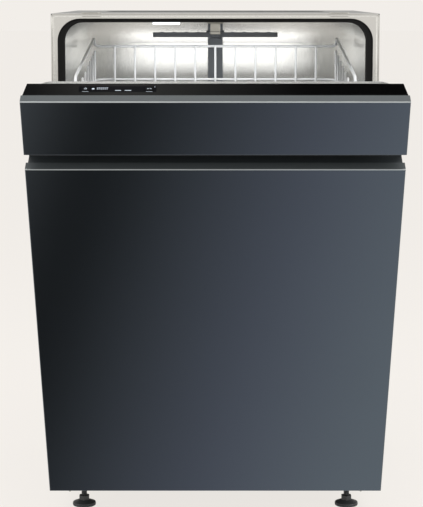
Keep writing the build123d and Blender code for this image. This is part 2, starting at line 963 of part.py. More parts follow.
spring_wire = 1.6
spring_outer = 9
spring_turns = 10
hook_length = 11


def biarc(start, start_way, end, end_way):
    """Two tangent arcs between two points with given directions."""
    chord = end - start
    ways = start_way + end_way
    spread = 2 * (1 - start_way.dot(end_way))
    along = chord.dot(ways)
    reach = (sqrt(along * along + spread * chord.dot(chord)) - along) / spread
    middle = (start + end + (start_way - end_way) * reach) * 0.5
    first = Edge.make_tangent_arc(start, start_way, middle)
    second = Edge.make_tangent_arc(end, end_way * -1, middle)
    return [first, second]


def spring_line(x, y, z_low, z_high):
    """Centre line of a hanging coil spring, a helix in quarter turns."""
    radius = (spring_outer - spring_wire) / 2
    rise = (z_high - z_low) / spring_turns

    def station(turn):
        angle = 2 * pi * turn
        point = Vector(x + radius * cos(angle), y + radius * sin(angle), z_low + rise * turn)
        way = Vector(-radius * sin(angle), radius * cos(angle), rise / (2 * pi)).normalized()
        return point, way

    edges = []
    for quarter in range(4 * spring_turns):
        start, start_way = station(quarter / 4)
        end, end_way = station((quarter + 1) / 4)
        edges += biarc(start, start_way, end, end_way)
    return edges, station(0)


def make_door_springs():
    """A tension spring each side that balances the door."""

    def spring(side):
        x = side * spring_x
        low = anchor_z + hook_length
        high = lug_rest_z - hook_length
        edges, (bottom, bottom_way) = spring_line(x, lug_rest_y, low, high)
        path = Wire(edges)
        section = Plane(origin=bottom, z_dir=bottom_way) * Circle(spring_wire / 2)
        coil = sweep(section, path)
        lower_hook = rod((x, lug_rest_y, anchor_z + stud_radius), (x, lug_rest_y, low), spring_wire)
        upper_hook = rod((x, lug_rest_y, high), (x, lug_rest_y, lug_rest_z - stud_radius), spring_wire)
        radius = (spring_outer - spring_wire) / 2
        lower_bar = rod((x - spring_wire / 2, lug_rest_y, low), (x + radius, lug_rest_y, low), spring_wire)
        upper_bar = rod((x - spring_wire / 2, lug_rest_y, high), (x + radius, lug_rest_y, high), spring_wire)
        return coil + [lower_hook, upper_hook, lower_bar, upper_bar]

    keep("door_springs", *mirrored(spring))
    pitch = (lug_rest_z - anchor_z - 2 * hook_length) / spring_turns
    print("door spring: least gap between turns", round(pitch - spring_wire, 2))


# Door

def front_pan(z_low, z_high):
    """A folded front sheet, closed at its face and edges and open at the back."""
    pan = block(-front_half, front_half, front_y, front_back, z_low, z_high)
    pan = fillet(pan.faces().sort_by(Axis.Y)[0].edges(), front_edge_radius)
    inside = block(
        -front_half + front_sheet, front_half - front_sheet, front_y + front_sheet, front_back + past,
        z_low + front_sheet, z_high - front_sheet,
    )
    return pan - inside


def make_fronts():
    """The upper and the lower front of the door."""
    keep("upper_front_panel", front_pan(upper_front_low, front_high))
    keep("lower_front_panel", front_pan(front_low, lower_front_high))


channel_wall = 2
channel_depth = 20
channel_rise = 14


def make_grip_channel():
    """Recessed grip between the two fronts, hooked up behind the upper one."""
    back = front_back + channel_depth
    low = lower_front_high - channel_wall
    high = upper_front_low + channel_rise
    half = door_body_width / 2
    channel = block(-half, half, front_back, back, low, high)
    hollow = block(
        -half - past, half + past, front_back - past, back - channel_wall,
        low + channel_wall, high - channel_wall,
    )
    keep("grip_channel", channel - hollow)


def make_door_shell():
    """Sheet body of the door, open towards the liner, cut away at the hinges."""
    half = door_body_width / 2
    shell = block(-half, half, front_back, liner_out, door_body_low, door_body_high)
    shell -= block(
        -half + door_sheet, half - door_sheet, front_back + door_sheet, liner_out + past,
        door_body_low + door_sheet, door_body_high - door_sheet,
    )
    shell -= block(
        -half - past, half + past, front_back - past, front_back + channel_depth,
        lower_front_high - channel_wall, upper_front_low + channel_rise,
    )
    behind = block(
        -half - past, half + past, fascia_back, liner_out + past, notch_high, door_body_high + past,
    )
    inside = arch(
        liner_width / 2 - door_sheet, notch_high - past, front_high - door_sheet,
        liner_corner_radius - door_sheet,
    )
    shell -= behind - upright(inside, fascia_back - past, liner_out + 2 * past)
    for side in (-1, 1):
        shell -= side_block(
            side, hinge_zone, half + past, front_back - past, liner_out + past,
            door_body_low - past, notch_high,
        )
    keep("door_shell", shell)


latch_half = 20
latch_depth = 30
latch_back_room = 8
latch_drop = 26
latch_gap = 0.2
latch_pocket_inset = 1
latch_tongue_depth = 14
latch_tongue_drop = 9
latch_tongue_diameter = 5
striker_room = 5
slot_half = 11
slot_half_height = 6
slot_depth = 8
liner_foot_gap = 0.5
liner_foot_lift = 2
pan_lap = 2
pan_overcut = 0.01


def make_liner():
    """Steel inner face of the door: flat rim with a folded edge and a raised pan."""
    half = liner_width / 2
    rim = arch(half, notch_high, front_high, liner_corner_radius)
    inner = arch(
        half - door_sheet, notch_high - past, front_high - door_sheet, liner_corner_radius - door_sheet,
    )
    plate = upright(rim, liner_out, liner_in)
    plate += block(
        liner_foot_gap - hinge_zone, hinge_zone - liner_foot_gap, liner_out, liner_in,
        door_body_low + liner_foot_lift, notch_high,
    )
    plate += upright(rim - inner, liner_out - liner_flange, liner_out)
    pan_half = pan_width / 2

    def pan_body(shrink, back, front):
        base = rounded(pan_half - shrink, pan_low + shrink, pan_high - shrink, pan_corner_radius - shrink)
        face = rounded(
            pan_half - pan_draft - shrink, pan_low + pan_draft + shrink, pan_high - pan_draft / 2 - shrink,
            pan_corner_radius - pan_draft / 2 - shrink,
        )
        return loft([Plane.XZ.offset(-back) * base, Plane.XZ.offset(-front) * face])

    opening = rounded(pan_half - pan_lap, pan_low + pan_lap, pan_high - pan_lap, pan_corner_radius - pan_lap)
    plate -= upright(opening, liner_out - past, liner_in + past)
    raised = pan_body(0, liner_out, pan_in)
    raised -= pan_body(door_sheet, liner_out - pan_overcut, pan_in - door_sheet)
    liner = plate + raised
    liner -= block(
        -slot_half, slot_half, pan_in - slot_depth, pan_in + past,
        striker_z - slot_half_height, striker_z + slot_half_height,
    )
    liner -= block(
        dispenser_x_low, dispenser_x_high, liner_out - past, pan_in + past, dispenser_low, dispenser_high,
    )
    keep("door_liner", liner)


def make_door_latch():
    """Latch housing behind the slot, with the pocket that the striker enters."""
    high = door_body_high - door_sheet
    back = pan_in - door_sheet
    body = block(
        -latch_half, latch_half, back - latch_depth - latch_back_room, back - latch_gap,
        striker_z - latch_drop, high,
    )
    pocket_half = slot_half - latch_pocket_inset
    pocket = block(
        -pocket_half, pocket_half, back - latch_depth, back + past, striker_z - striker_room, high + past,
    )
    tongue_y = back - latch_tongue_depth
    tongue_z = striker_z - latch_tongue_drop
    tongue = rod((-slot_half, tongue_y, tongue_z), (slot_half, tongue_y, tongue_z), latch_tongue_diameter)
    keep("door_latch", body - pocket + tongue)


bottom_seal_inset = 1
bottom_seal_gap = 0.5
bottom_seal_margin = 4


def make_bottom_seal():
    """Rubber strip across the lower edge of the liner, in front of the frame."""
    half = tub_half - bottom_seal_inset
    strip = block(
        -half, half, liner_in, -bottom_seal_gap, frame_low + bottom_seal_margin,
        tub_floor_top - bottom_seal_margin,
    )
    keep("door_bottom_seal", strip)


# Controls in the top edge of the door

fascia_skin = 2.5
fascia_side_gap = 2
fascia_front_half = front_half - fascia_side_gap
fascia_rear_half = liner_width / 2
window_inset = 81
window_length = 108.6
window_x_low = window_inset - front_half
window_x_high = window_x_low + window_length
window_y_low = -34.5
window_y_high = -18.8
window_glass = 1.5
key_gap = 0.3
key_travel = 1.0
key_size_x = 12
key_size_y = 9
key_height = 8
key_stand_out = 0.4
key_edge = 0.3
key_collar = 1.5
key_hole_depth = 10
power_key_inset = 9
start_key_inset = 9.6
window_gap = 0.05
module_inset = 1
module_left = 12
module_right = 60
power_key_x = window_x_low + power_key_inset
start_key_x = window_x_high - start_key_inset
key_y = (window_y_low + window_y_high) / 2
key_low = front_high - key_height
module_high = key_low - key_travel - key_gap


def make_fascia():
    """Top cap of the door with the pocket for the display window."""
    high = front_high
    low = door_body_high

    def cap(inset, top):
        outline = make_face(Polyline(
            (-fascia_front_half + inset, front_back + inset), (fascia_front_half - inset, front_back + inset),
            (fascia_rear_half - inset, fascia_back - inset), (-fascia_rear_half + inset, fascia_back - inset),
            close=True,
        ))
        return Pos(0, 0, low) * extrude(outline, top - low)

    fascia = cap(0, high) - cap(fascia_skin, high - fascia_skin)
    fascia -= block(
        window_x_low, window_x_high, window_y_low, window_y_high, high - window_glass, high + past,
    )
    for x in (power_key_x, start_key_x):
        fascia -= key_hole(x)
    keep("control_fascia", fascia)


def key_hole(x):
    """The hole that guides one key."""
    half_x = key_size_x / 2 + key_gap
    half_y = key_size_y / 2 + key_gap
    return block(
        x - half_x, x + half_x, key_y - half_y, key_y + half_y,
        front_high - key_hole_depth, front_high + past,
    )


def make_window():
    """Dark glass over the display, flush in the fascia."""
    glass = block(
        window_x_low + window_gap, window_x_high - window_gap, window_y_low + window_gap,
        window_y_high - window_gap, front_high - window_glass, front_high,
    )
    for x in (power_key_x, start_key_x):
        glass -= key_hole(x)
    keep("display_window", glass)


def make_keys():
    """The power key and the start key, each with a collar under the fascia."""
    half_x = key_size_x / 2
    half_y = key_size_y / 2
    collar_high = front_high - fascia_skin - key_gap
    for name, x in (("power_key", power_key_x), ("start_key", start_key_x)):
        cap = block(
            x - half_x, x + half_x, key_y - half_y, key_y + half_y, key_low, front_high + key_stand_out,
        )
        cap = chamfer(cap.faces().sort_by(Axis.Z)[-1].edges(), key_edge)
        collar = block(
            x - half_x - key_collar, x + half_x + key_collar, key_y - half_y - key_collar,
            key_y + half_y + key_collar, key_low, collar_high,
        )
        keep(name, cap + collar)


def make_control_module():
    """Electronics housing on top of the door body, under the keys and the display."""
    inset = fascia_skin + module_inset
    module = block(
        window_x_low - module_left, window_x_high + module_right, front_back + inset, fascia_back - inset,
        door_body_high, module_high,
    )
    keep("control_module", module)


# Dispenser

dispenser_half = 62
dispenser_x_low = -dispenser_half
dispenser_x_high = dispenser_half
dispenser_lift = 320
dispenser_height = 110
dispenser_low = pan_low + dispenser_lift
dispenser_high = dispenser_low + dispenser_height
dispenser_depth = 34
dispenser_stand_out = 3
dispenser_play = 0.1
dispenser_rim = 4
dispenser_rim_corner = 8
dispenser_face = pan_in + dispenser_stand_out
cup_inset = 14
cup_width = 54
cup_lift = 22
cup_top_gap = 18
cup_x_low = dispenser_x_low + cup_inset
cup_x_high = cup_x_low + cup_width
cup_low = dispenser_low + cup_lift
cup_high = dispenser_high - cup_top_gap
cup_depth = 24
lid_sheet = 2.5
lid_lap = 4
lid_side_lap = 3
lid_hinge_drop = 7
lid_hinge_z = cup_low - lid_hinge_drop
lid_hinge_rise = 2.6
lid_hinge_y = dispenser_face + lid_hinge_rise
lid_pin = 2
lid_barrel = 4.2
lid_bore = 2.1
lid_barrel_lap = 0.5
lug_start = 1
lug_end = 4
lug_half = 2
lug_stand_out = 1.5
pin_reach = 3
web_inset = 1
web_lift = 0.6
web_height = 4
rinse_cap_inset = 26
rinse_cap_radius = 17
rinse_cap_sheet = 4
rinse_neck_step = 4
rinse_neck_depth = 12
rinse_plug_length = 10
rinse_plug_play = 0.05
wing_inset = 3
wing_half = 2.5
wing_height = 4
cap_x = dispenser_x_high - rinse_cap_inset
cap_z = (cup_low + cup_high) / 2


def lid_rod(x_low, x_high, diameter):
    """A round bar along the hinge of the lid."""
    return rod((x_low, lid_hinge_y, lid_hinge_z), (x_high, lid_hinge_y, lid_hinge_z), diameter)


def cap_rod(y_low, y_high, radius):
    """A round bar square to the face, in the middle of the rinse aid cap."""
    return rod((cap_x, y_low, cap_z), (cap_x, y_high, cap_z), 2 * radius)


def make_dispenser_housing():
    """Housing set in the pan of the liner, with its cup, its filler neck and the lugs of the lid."""
    face = dispenser_face
    housing = block(
        dispenser_x_low + dispenser_play, dispenser_x_high - dispenser_play, face - dispenser_depth, face,
        dispenser_low + dispenser_play, dispenser_high - dispenser_play,
    )
    rim = block(
        dispenser_x_low - dispenser_rim, dispenser_x_high + dispenser_rim, pan_in, face,
        dispenser_low - dispenser_rim, dispenser_high + dispenser_rim,
    )
    housing = housing + fillet(rim.edges().filter_by(Axis.Y), dispenser_rim_corner)
    housing -= block(cup_x_low, cup_x_high, face - cup_depth, face + past, cup_low, cup_high)
    housing -= cap_rod(face - rinse_neck_depth, face + past, rinse_cap_radius - rinse_neck_step)
    left = (cup_x_low - lug_end, cup_x_low - lug_start)
    right = (cup_x_high + lug_start, cup_x_high + lug_end)
    for x_low, x_high in (left, right):
        housing += block(
            x_low, x_high, face, lid_hinge_y + lug_stand_out, lid_hinge_z - lug_half, lid_hinge_z + lug_half,
        )
    left_pin = lid_rod(cup_x_low - lug_start, cup_x_low + pin_reach, lid_pin)
    right_pin = lid_rod(cup_x_high - pin_reach, cup_x_high + lug_start, lid_pin)
    keep("detergent_dispenser", housing + left_pin + right_pin)


def make_dispenser_lid():
    """Lid of the detergent cup, with the barrel of its hinge."""
    back = dispenser_face + running_gap
    front = back + lid_sheet
    barrel = lid_rod(cup_x_low - lid_barrel_lap, cup_x_high + lid_barrel_lap, lid_barrel)
    plate = block(
        cup_x_low - lid_side_lap, cup_x_high + lid_side_lap, back, front, lid_hinge_z + pin_reach,
        cup_high + lid_lap,
    )
    web = block(
        cup_x_low + web_inset, cup_x_high - web_inset, back + web_lift, front, lid_hinge_z,
        lid_hinge_z + web_height,
    )
    bore = lid_rod(cup_x_low - 2 * past, cup_x_high + 2 * past, lid_bore)
    keep("dispenser_lid", plate + barrel + web - bore)


def make_rinse_cap():
    """Screw cap of the rinse aid, with a wing to turn it."""
    seat = dispenser_face + running_gap
    top = dispenser_face + rinse_cap_sheet
    disc = cap_rod(seat, top, rinse_cap_radius)
    plug = cap_rod(
        dispenser_face - rinse_plug_length, seat, rinse_cap_radius - rinse_neck_step - rinse_plug_play,
    )
    reach = rinse_cap_radius - wing_inset
    wing = block(cap_x - reach, cap_x + reach, top, top + wing_height, cap_z - wing_half, cap_z + wing_half)
    keep("rinse_aid_cap", disc.fuse(plug) + wing)


# Racks

def spaced(low, high, pitch):
    """Evenly spaced places from low to high, about a pitch apart."""
    count = max(1, round((high - low) / pitch))
    return [low + (high - low) * i / count for i in range(count + 1)]


def rack_floor(front, length, level):
    """Floor of a rack: crossing round wires, welded."""
    half = rack_width / 2
    back = front + length
    over = wire_overhang
    places = spaced(-half, half, rack_pitch)
    bars = [rod((x, front - over, level), (x, back + over, level), wire) for x in places]
    reach = half - wire_butt
    bars += [rod((-reach, y, level), (reach, y, level), wire) for y in spaced(front, back, cross_pitch)]
    return weld(bars)


def cross_wall(y, level, top, rungs):
    """Front or back wall of a rack, between the side walls."""
    half = rack_width / 2 - rim_wire / 2
    base = level + wire
    bars = [rod((-half, y, z), (half, y, z), wire) for z in spaced(base, top, (top - base) / rungs)]
    uprights = spaced(-rack_width / 2, rack_width / 2, rack_pitch)[1:-1]
    bars += [rod((x, y, base), (x, y, top), wire) for x in uprights]
    return weld(bars)


def side_wall(side, front, length, level, front_top, rear_top):
    """Side wall of a rack with a rim that may rise to the back."""
    x = side * rack_width / 2
    back = front + length
    base = level + wire
    start = front - wire_overhang
    end = back + wire_overhang
    slope = (rear_top - front_top) / length * wire_overhang
    bars = [rod((x, start, base), (x, end, base), rim_wire)]
    bars.append(rod((x, start, front_top - slope), (x, end, rear_top + slope), rim_wire))
    middle_front = (base + front_top - slope) / 2
    middle_rear = (base + rear_top + slope) / 2
    bars.append(rod((x, start, middle_front), (x, end, middle_rear), rim_wire))
    for y in spaced(front, back, cross_pitch):
        top = front_top + (rear_top - front_top) * (y - front) / length
        bars.append(rod((x, y, base), (x, y, top), wire))
    return weld(bars)


tine_height = 88
tine_aside = wire + weld_gap


def plate_tines(y, level, top, places):
    """A bar along X with upright tines behind it, each wire a piece of its own."""
    bar = rod((places[0] - wire, y, level), (places[-1] + wire, y, level), wire)
    low = level - wire / 2
    return [bar] + [rod((x, y + tine_aside, low), (x, y + tine_aside, top), wire) for x in places]


def cup_tines(x, level, top, places):
    """A bar along Y with upright tines beside it, each wire a piece of its own."""
    bar = rod((x, places[0] - wire, level), (x, places[-1] + wire, level), wire)
    low = level - wire / 2
    return [bar] + [rod((x + tine_aside, y, low), (x + tine_aside, y, top), wire) for y in places]


floor_wires = spaced(-rack_width / 2, rack_width / 2, rack_pitch)
between_wires = [(x + next_x) / 2 for x, next_x in zip(floor_wires, floor_wires[1:])]
tine_row_shares = (0.145, 0.27, 0.505, 0.63)
fold_row_share = 0.828
fold_lift = 3
tine_rows = [share * lower_rack_length for share in tine_row_shares]
fold_row = fold_row_share * lower_rack_length
fold_level = lower_rack_floor + wire + fold_lift
wheel_z = tub_floor_top + running_gap + wheel_radius
front_wheel_inset = 149
front_wheel_y = lower_rack_front + front_wheel_inset
rear_wheel_inset = 60
rear_wheel_y = tub_back - rear_wheel_inset
wheel_side_gap = 1
carrier_sheet = 4
carrier_half = 14
carrier_below_axle = 10
carrier_rise = 24
axle_end_play = 0.4
axle_head = 1.5
axle_head_step = 2
clip_half_x = 4
clip_half_y = 6
clip_rise = 6
clip_fit = 0.2


def wheel_carrier(side, y, near, level):
    """A plate on the side wall of the rack with the axle of one wheel."""
    face = near + carrier_sheet
    plate = side_block(
        side, near, face, y - carrier_half, y + carrier_half, wheel_z - carrier_below_axle,
        level + carrier_rise,
    )
    axle_end = face + wheel_side_gap + wheel_width + axle_end_play
    axle = rod((side * face, y, wheel_z), (side * axle_end, y, wheel_z), 2 * axle_radius)
    head_end = side * (axle_end + axle_head)
    head = rod((side * axle_end, y, wheel_z), (head_end, y, wheel_z), 2 * (axle_radius + axle_head_step))
    return plate + axle + head


handle_drop = 16
handle_rise = 6
handle_round = 5
handle_end = 8
handle_skin = 2
lower_handle_half = 70
lower_handle_out = 14
upper_handle_half = 80
upper_handle_out = 16


def rack_handle(half, out, front, rim):
    """A grip along the front rim of a rack, hollow below."""
    back = front - wire / 2
    bar = block(-half, half, front - out, back, rim - handle_drop, rim + handle_rise)
    bar = fillet(bar.edges().filter_by(Axis.X), handle_round)
    inside = half - handle_end
    return bar - block(
        -inside, inside, front - out + handle_skin, back + past, rim - handle_drop - past, rim,
    )


def make_lower_rack():
    """Lower rack: basket with fixed tines, folding tines, grip and wheels."""
    front = lower_rack_front
    length = lower_rack_length
    level = lower_rack_floor
    back = front + length
    rim = level + lower_rack_height
    half = rack_width / 2
    basket = [rack_floor(front, length, level)]
    basket += [cross_wall(front, level, rim, 3), cross_wall(back, level, rim, 3)]
    basket += [side_wall(side, front, length, level, rim, rim) for side in (-1, 1)]
    for row in tine_rows:
        basket += plate_tines(front + row, level + wire, level + tine_height, between_wires)
    y = front + fold_row
    for x in (floor_wires[2], floor_wires[-3]):
        clip = block(
            x - clip_half_x, x + clip_half_x, y - clip_half_y, y + clip_half_y, level, fold_level + clip_rise,
        )
        clip -= rod((x, y - clip_half_y - past, level), (x, y + clip_half_y + past, level), wire)
        start = (x - clip_half_x - past, y, fold_level)
        end = (x + clip_half_x + past, y, fold_level)
        basket.append(clip - rod(start, end, wire + clip_fit))
    for side in (-1, 1):
        for wheel_y in (front_wheel_y, rear_wheel_y):
            basket.append(wheel_carrier(side, wheel_y, half + wire / 2, level))
    keep("lower_rack_basket", *basket)

    bar = rod((floor_wires[1], y, fold_level), (floor_wires[-2], y, fold_level), wire)
    tines = plate_tines(y, fold_level, level + tine_height, between_wires[2:-2])[1:]
    keep("folding_tines", bar, *tines)

    keep("lower_rack_handle", rack_handle(lower_handle_half, lower_handle_out, front, rim))

    bore = 2 * (axle_radius + wheel_bore_gap)
    for name, y in (("front_wheels", front_wheel_y), ("rear_wheels", rear_wheel_y)):
        wheels = []
        for side in (-1, 1):
            near = side * (half + wire / 2 + carrier_sheet + wheel_side_gap)
            far = near + side * wheel_width
            tyre = rod((near, y, wheel_z), (far, y, wheel_z), 2 * wheel_radius)
            wheels.append(tyre - rod((near - side, y, wheel_z), (far + side, y, wheel_z), bore))
        keep(name, *wheels)


cup_row_shares = (-0.275, -0.045, 0.185)
cup_rows = [share * rack_width for share in cup_row_shares]
cup_tine_height = 60
shelf_lift = 81
shelf_z = upper_rack_floor + shelf_lift
shelf_side_gap = 12
shelf_x = -rack_width / 2 + shelf_side_gap
shelf_reach = 74
shelf_inset = 60
shelf_pitch = 1.2 * rack_pitch
shelf_clip_half = 4
shelf_clip_reach = 5
cup_tine_inset = 30
cup_tine_pitch = 1.1 * rack_pitch
front_wall_drop = 20
rear_wall_drop = 15
member_lip = 4
feed_gap = 0.5
upper_cap_sheet = 2.5
feed_hub_radius = 16
feed_pipe_diameter = 18
feed_pipe_reach = 10


def make_upper_rack():
    """Upper rack: basket with cup tines and a raised shelf, grip and feed pipe."""
    front = upper_rack_front
    length = upper_rack_length
    level = upper_rack_floor
    back = front + length
    half = rack_width / 2
    basket = [rack_floor(front, length, level)]
    front_top = upper_rack_front_rim - front_wall_drop
    basket.append(cross_wall(front, level, front_top, 2))
    basket.append(cross_wall(back, level, upper_rack_rear_rim - rear_wall_drop, 3))
    for side in (-1, 1):
        basket.append(side_wall(side, front, length, level, upper_rack_front_rim, upper_rack_rear_rim))
    places = spaced(front + cup_tine_inset, back - cup_tine_inset, cup_tine_pitch)
    for x in cup_rows:
        basket += cup_tines(x, level + wire, level + cup_tine_height, places)
    ribs = spaced(front + shelf_inset, back - shelf_inset, shelf_pitch)
    for y in ((ribs[1] + ribs[2]) / 2, (ribs[-3] + ribs[-2]) / 2):
        clip = block(
            -half + rim_wire / 2, shelf_x + shelf_clip_reach, y - shelf_clip_half, y + shelf_clip_half,
            shelf_z - shelf_clip_reach, shelf_z + shelf_clip_reach,
        )
        start = (shelf_x, y - shelf_clip_half - past, shelf_z)
        end = (shelf_x, y + shelf_clip_half + past, shelf_z)
        basket.append(clip - rod(start, end, wire + clip_fit))
    member_half = rail_height / 2 - member_lip
    member_out = rail_out - rail_outer - 2 * rail_member_gap - rail_member
    for side in (-1, 1):
        basket.append(side_block(
            side, half + wire / 2, member_out, front, back, rail_z - member_half, rail_z + member_half,
        ))
    keep("upper_rack_basket", *basket)

    far = shelf_x + shelf_reach
    start = ribs[0] - wire_overhang
    end = ribs[-1] + wire_overhang
    shelf = [rod((x, start, shelf_z), (x, end, shelf_z), wire) for x in spaced(shelf_x, far, rack_pitch)]
    shelf += [rod((shelf_x + wire_butt, y, shelf_z), (far - wire_butt, y, shelf_z), wire) for y in ribs]
    keep("cup_shelf", weld(shelf))

    keep("upper_rack_handle", rack_handle(upper_handle_half, upper_handle_out, front, front_top))

    pin_high = upper_arm_high + feed_gap
    pin_low = upper_arm_low - feed_gap
    hub = drum(0, upper_arm_centre_y, pin_high, level - wire / 2, feed_hub_radius)
    pin = drum(0, upper_arm_centre_y, pin_low, pin_high, upper_pin_radius)
    cap = drum(0, upper_arm_centre_y, pin_low - upper_cap_sheet, pin_low, upper_pin_radius + pin_cap_step)
    pipe = rod((0, upper_arm_centre_y, dock_z), (0, back + feed_pipe_reach, dock_z), feed_pipe_diameter)
    keep("upper_feed_pipe", hub.fuse(pin, cap, pipe))


make_tub_wrap()
make_tub_rear_wall()
make_tub_floor()
make_tub_front_frame()
make_door_seal()
make_interior_light()
make_latch_striker()
make_rear_duct()
make_spray_arms()
make_rails()
make_casing()
make_worktop_brackets()
make_casing_screws()
make_base_tray()
make_feet()
make_sump()
make_filters()
make_salt_container()
make_pumps()
make_connectors()
make_hinge_brackets()
make_hinge_arms()
make_door_springs()
make_fronts()
make_grip_channel()
make_door_shell()
make_liner()
make_door_latch()
make_bottom_seal()
make_fascia()
make_window()
make_keys()
make_control_module()
make_dispenser_housing()
make_dispenser_lid()
make_rinse_cap()
make_lower_rack()
make_upper_rack()

# Rest position: the door stands ajar and the racks have come out with it

door_group = (
    "hinge_arms", "upper_front_panel", "lower_front_panel", "grip_channel", "door_shell", "door_liner",
    "door_latch", "door_bottom_seal", "control_fascia", "display_window", "power_key", "start_key",
    "control_module", "detergent_dispenser", "dispenser_lid", "rinse_aid_cap",
)
lower_rack_group = (
    "lower_rack_basket", "folding_tines", "lower_rack_handle", "front_wheels", "rear_wheels",
)
upper_rack_group = (
    "upper_rack_basket", "cup_shelf", "upper_rack_handle", "upper_feed_pipe", "upper_spray_arm",
)
swing = Pos(0, hinge_y, hinge_height) * Rot(door_rest_angle, 0, 0) * Pos(0, -hinge_y, -hinge_height)


def rest_place(name):
    """Where a node lies in the rest position, counted from the middle of the whole depth."""
    centre = Pos(0, -centre_y, 0)
    if name in door_group:
        return centre * swing
    if name in lower_rack_group:
        return centre * Pos(0, -lower_rack_out, 0)
    if name in upper_rack_group:
        return centre * Pos(0, -upper_rack_out, 0)
    if name == "rail_slides":
        return centre * Pos(0, -upper_rack_out / 2, 0)
    return centre


os.makedirs("parts", exist_ok=True)
for name, solids in nodes.items():
    placed = [rest_place(name) * solid for solid in solids]
    export_step(placed[0] if len(placed) == 1 else Compound(children=placed), f"parts/{name}.step")
print(len(nodes), "nodes, depth centre", round(centre_y, 3), "front", round(front_most - centre_y, 3))
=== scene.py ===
# %% [markdown]
# A fully integrated dishwasher with its door ajar
#
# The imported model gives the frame: every piece at its real size and place, in metres. This lesson
# dresses it. Most of the machine is bent sheet metal, coated wire and moulded plastic, so we give
# each its own finish, and remodel the pieces whose true form is softer or finer than plain solids.

# %% Load the frame
import json
import math

import bmesh
import bpy
from mathutils import Matrix, Vector


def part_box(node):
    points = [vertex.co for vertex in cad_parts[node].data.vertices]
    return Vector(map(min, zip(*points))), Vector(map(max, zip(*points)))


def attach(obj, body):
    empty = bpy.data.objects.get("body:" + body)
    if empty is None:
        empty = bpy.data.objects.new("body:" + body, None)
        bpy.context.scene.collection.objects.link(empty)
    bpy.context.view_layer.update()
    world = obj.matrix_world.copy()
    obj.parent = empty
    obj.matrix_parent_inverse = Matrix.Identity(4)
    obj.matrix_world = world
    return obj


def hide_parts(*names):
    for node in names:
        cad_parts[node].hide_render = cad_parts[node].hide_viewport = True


MM = 0.001
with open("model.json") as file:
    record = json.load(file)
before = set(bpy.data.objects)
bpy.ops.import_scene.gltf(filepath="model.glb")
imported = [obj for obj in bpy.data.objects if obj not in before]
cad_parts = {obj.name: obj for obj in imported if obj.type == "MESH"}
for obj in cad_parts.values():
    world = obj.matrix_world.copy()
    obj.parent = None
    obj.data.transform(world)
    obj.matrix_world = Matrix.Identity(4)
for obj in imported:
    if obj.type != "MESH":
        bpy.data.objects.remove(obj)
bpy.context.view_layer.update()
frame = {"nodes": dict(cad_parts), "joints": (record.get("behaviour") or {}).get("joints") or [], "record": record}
nodes = frame["nodes"]
joints = {joint["name"]: joint for joint in frame["joints"]}

# %% [markdown]
# The door is stored ajar. Its pieces are easier to model upright, as if it were shut, and then to
# swing about the hinge, so we read the hinge from the frame and keep the angle.

# %% Where the door hangs
hinge = Vector(joints["door_hinge"]["pos_m"])
ajar = -math.radians(joints["door_hinge"]["range_deg"][0])
mouth_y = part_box("tub_front_frame")[0].y
swing = Matrix.Translation(hinge) @ Matrix.Rotation(ajar, 4, "X") @ Matrix.Translation(-hinge)
door_up = swing.to_3x3() @ Vector((0, 0, 1))
door_out = swing.to_3x3() @ Vector((0, -1, 0))
print("door ajar by", round(math.degrees(ajar), 1), "degrees")

# %% [markdown]
# Colours are written as the hex values that a painter would note down. Blender works in linear
# light, so one function turns them.

# %% Colours
def rgb(hex_value):
    """An sRGB hex colour as linear red, green, blue and alpha."""
    channels = [int(hex_value[i:i + 2], 16) / 255 for i in (1, 3, 5)]
    return [c / 12.92 if c <= 0.04045 else ((c + 0.055) / 1.055) ** 2.4 for c in channels] + [1.0]


print("pale grey is", [round(c, 3) for c in rgb("#DADBDC")])

# %% [markdown]
# A material is a small tree of nodes. One helper adds any node with its settings and its links, so
# each finish below reads as a short list of what the surface is made of.

# %% A helper for nodes
def add(tree, kind, settings=None, links=None):
    """Adds one node: settings are sockets or properties, links are other nodes' outputs."""
    node = tree.nodes.new(kind)
    for key, value in (settings or {}).items():
        if key in node.inputs.keys():
            node.inputs[key].default_value = value
        else:
            setattr(node, key, value)
    for key, output in (links or {}).items():
        tree.links.new(output, node.inputs[key])
    return node


def new_material(name):
    """An empty material with its output, and the shader that feeds it."""
    material = bpy.data.materials.new(name)
    material.use_nodes = True
    tree = material.node_tree
    tree.nodes.clear()
    shader = add(tree, "ShaderNodeBsdfPrincipled")
    add(tree, "ShaderNodeOutputMaterial", links={"Surface": shader.outputs["BSDF"]})
    place = add(tree, "ShaderNodeTexCoord").outputs["Object"]
    return material, tree, shader, place


def shader_of(material):
    """The shader of a finished material."""
    return next(node for node in material.node_tree.nodes if node.type == "BSDF_PRINCIPLED")


def put(shader, settings):
    """Sets several inputs of a shader."""
    for key, value in settings.items():
        shader.inputs[key].default_value = value


def placed(name, data):
    """A new object in the scene."""
    thing = bpy.data.objects.new(name, data)
    bpy.context.scene.collection.objects.link(thing)
    return thing


print("helpers ready")

# %% [markdown]
# ## Camera
# The photograph looks slightly down on the door from a long way off, with a long lens, so upright
# lines lean in only a little. The lens and the small shift are worked out from the size of the
# fronts in the picture.

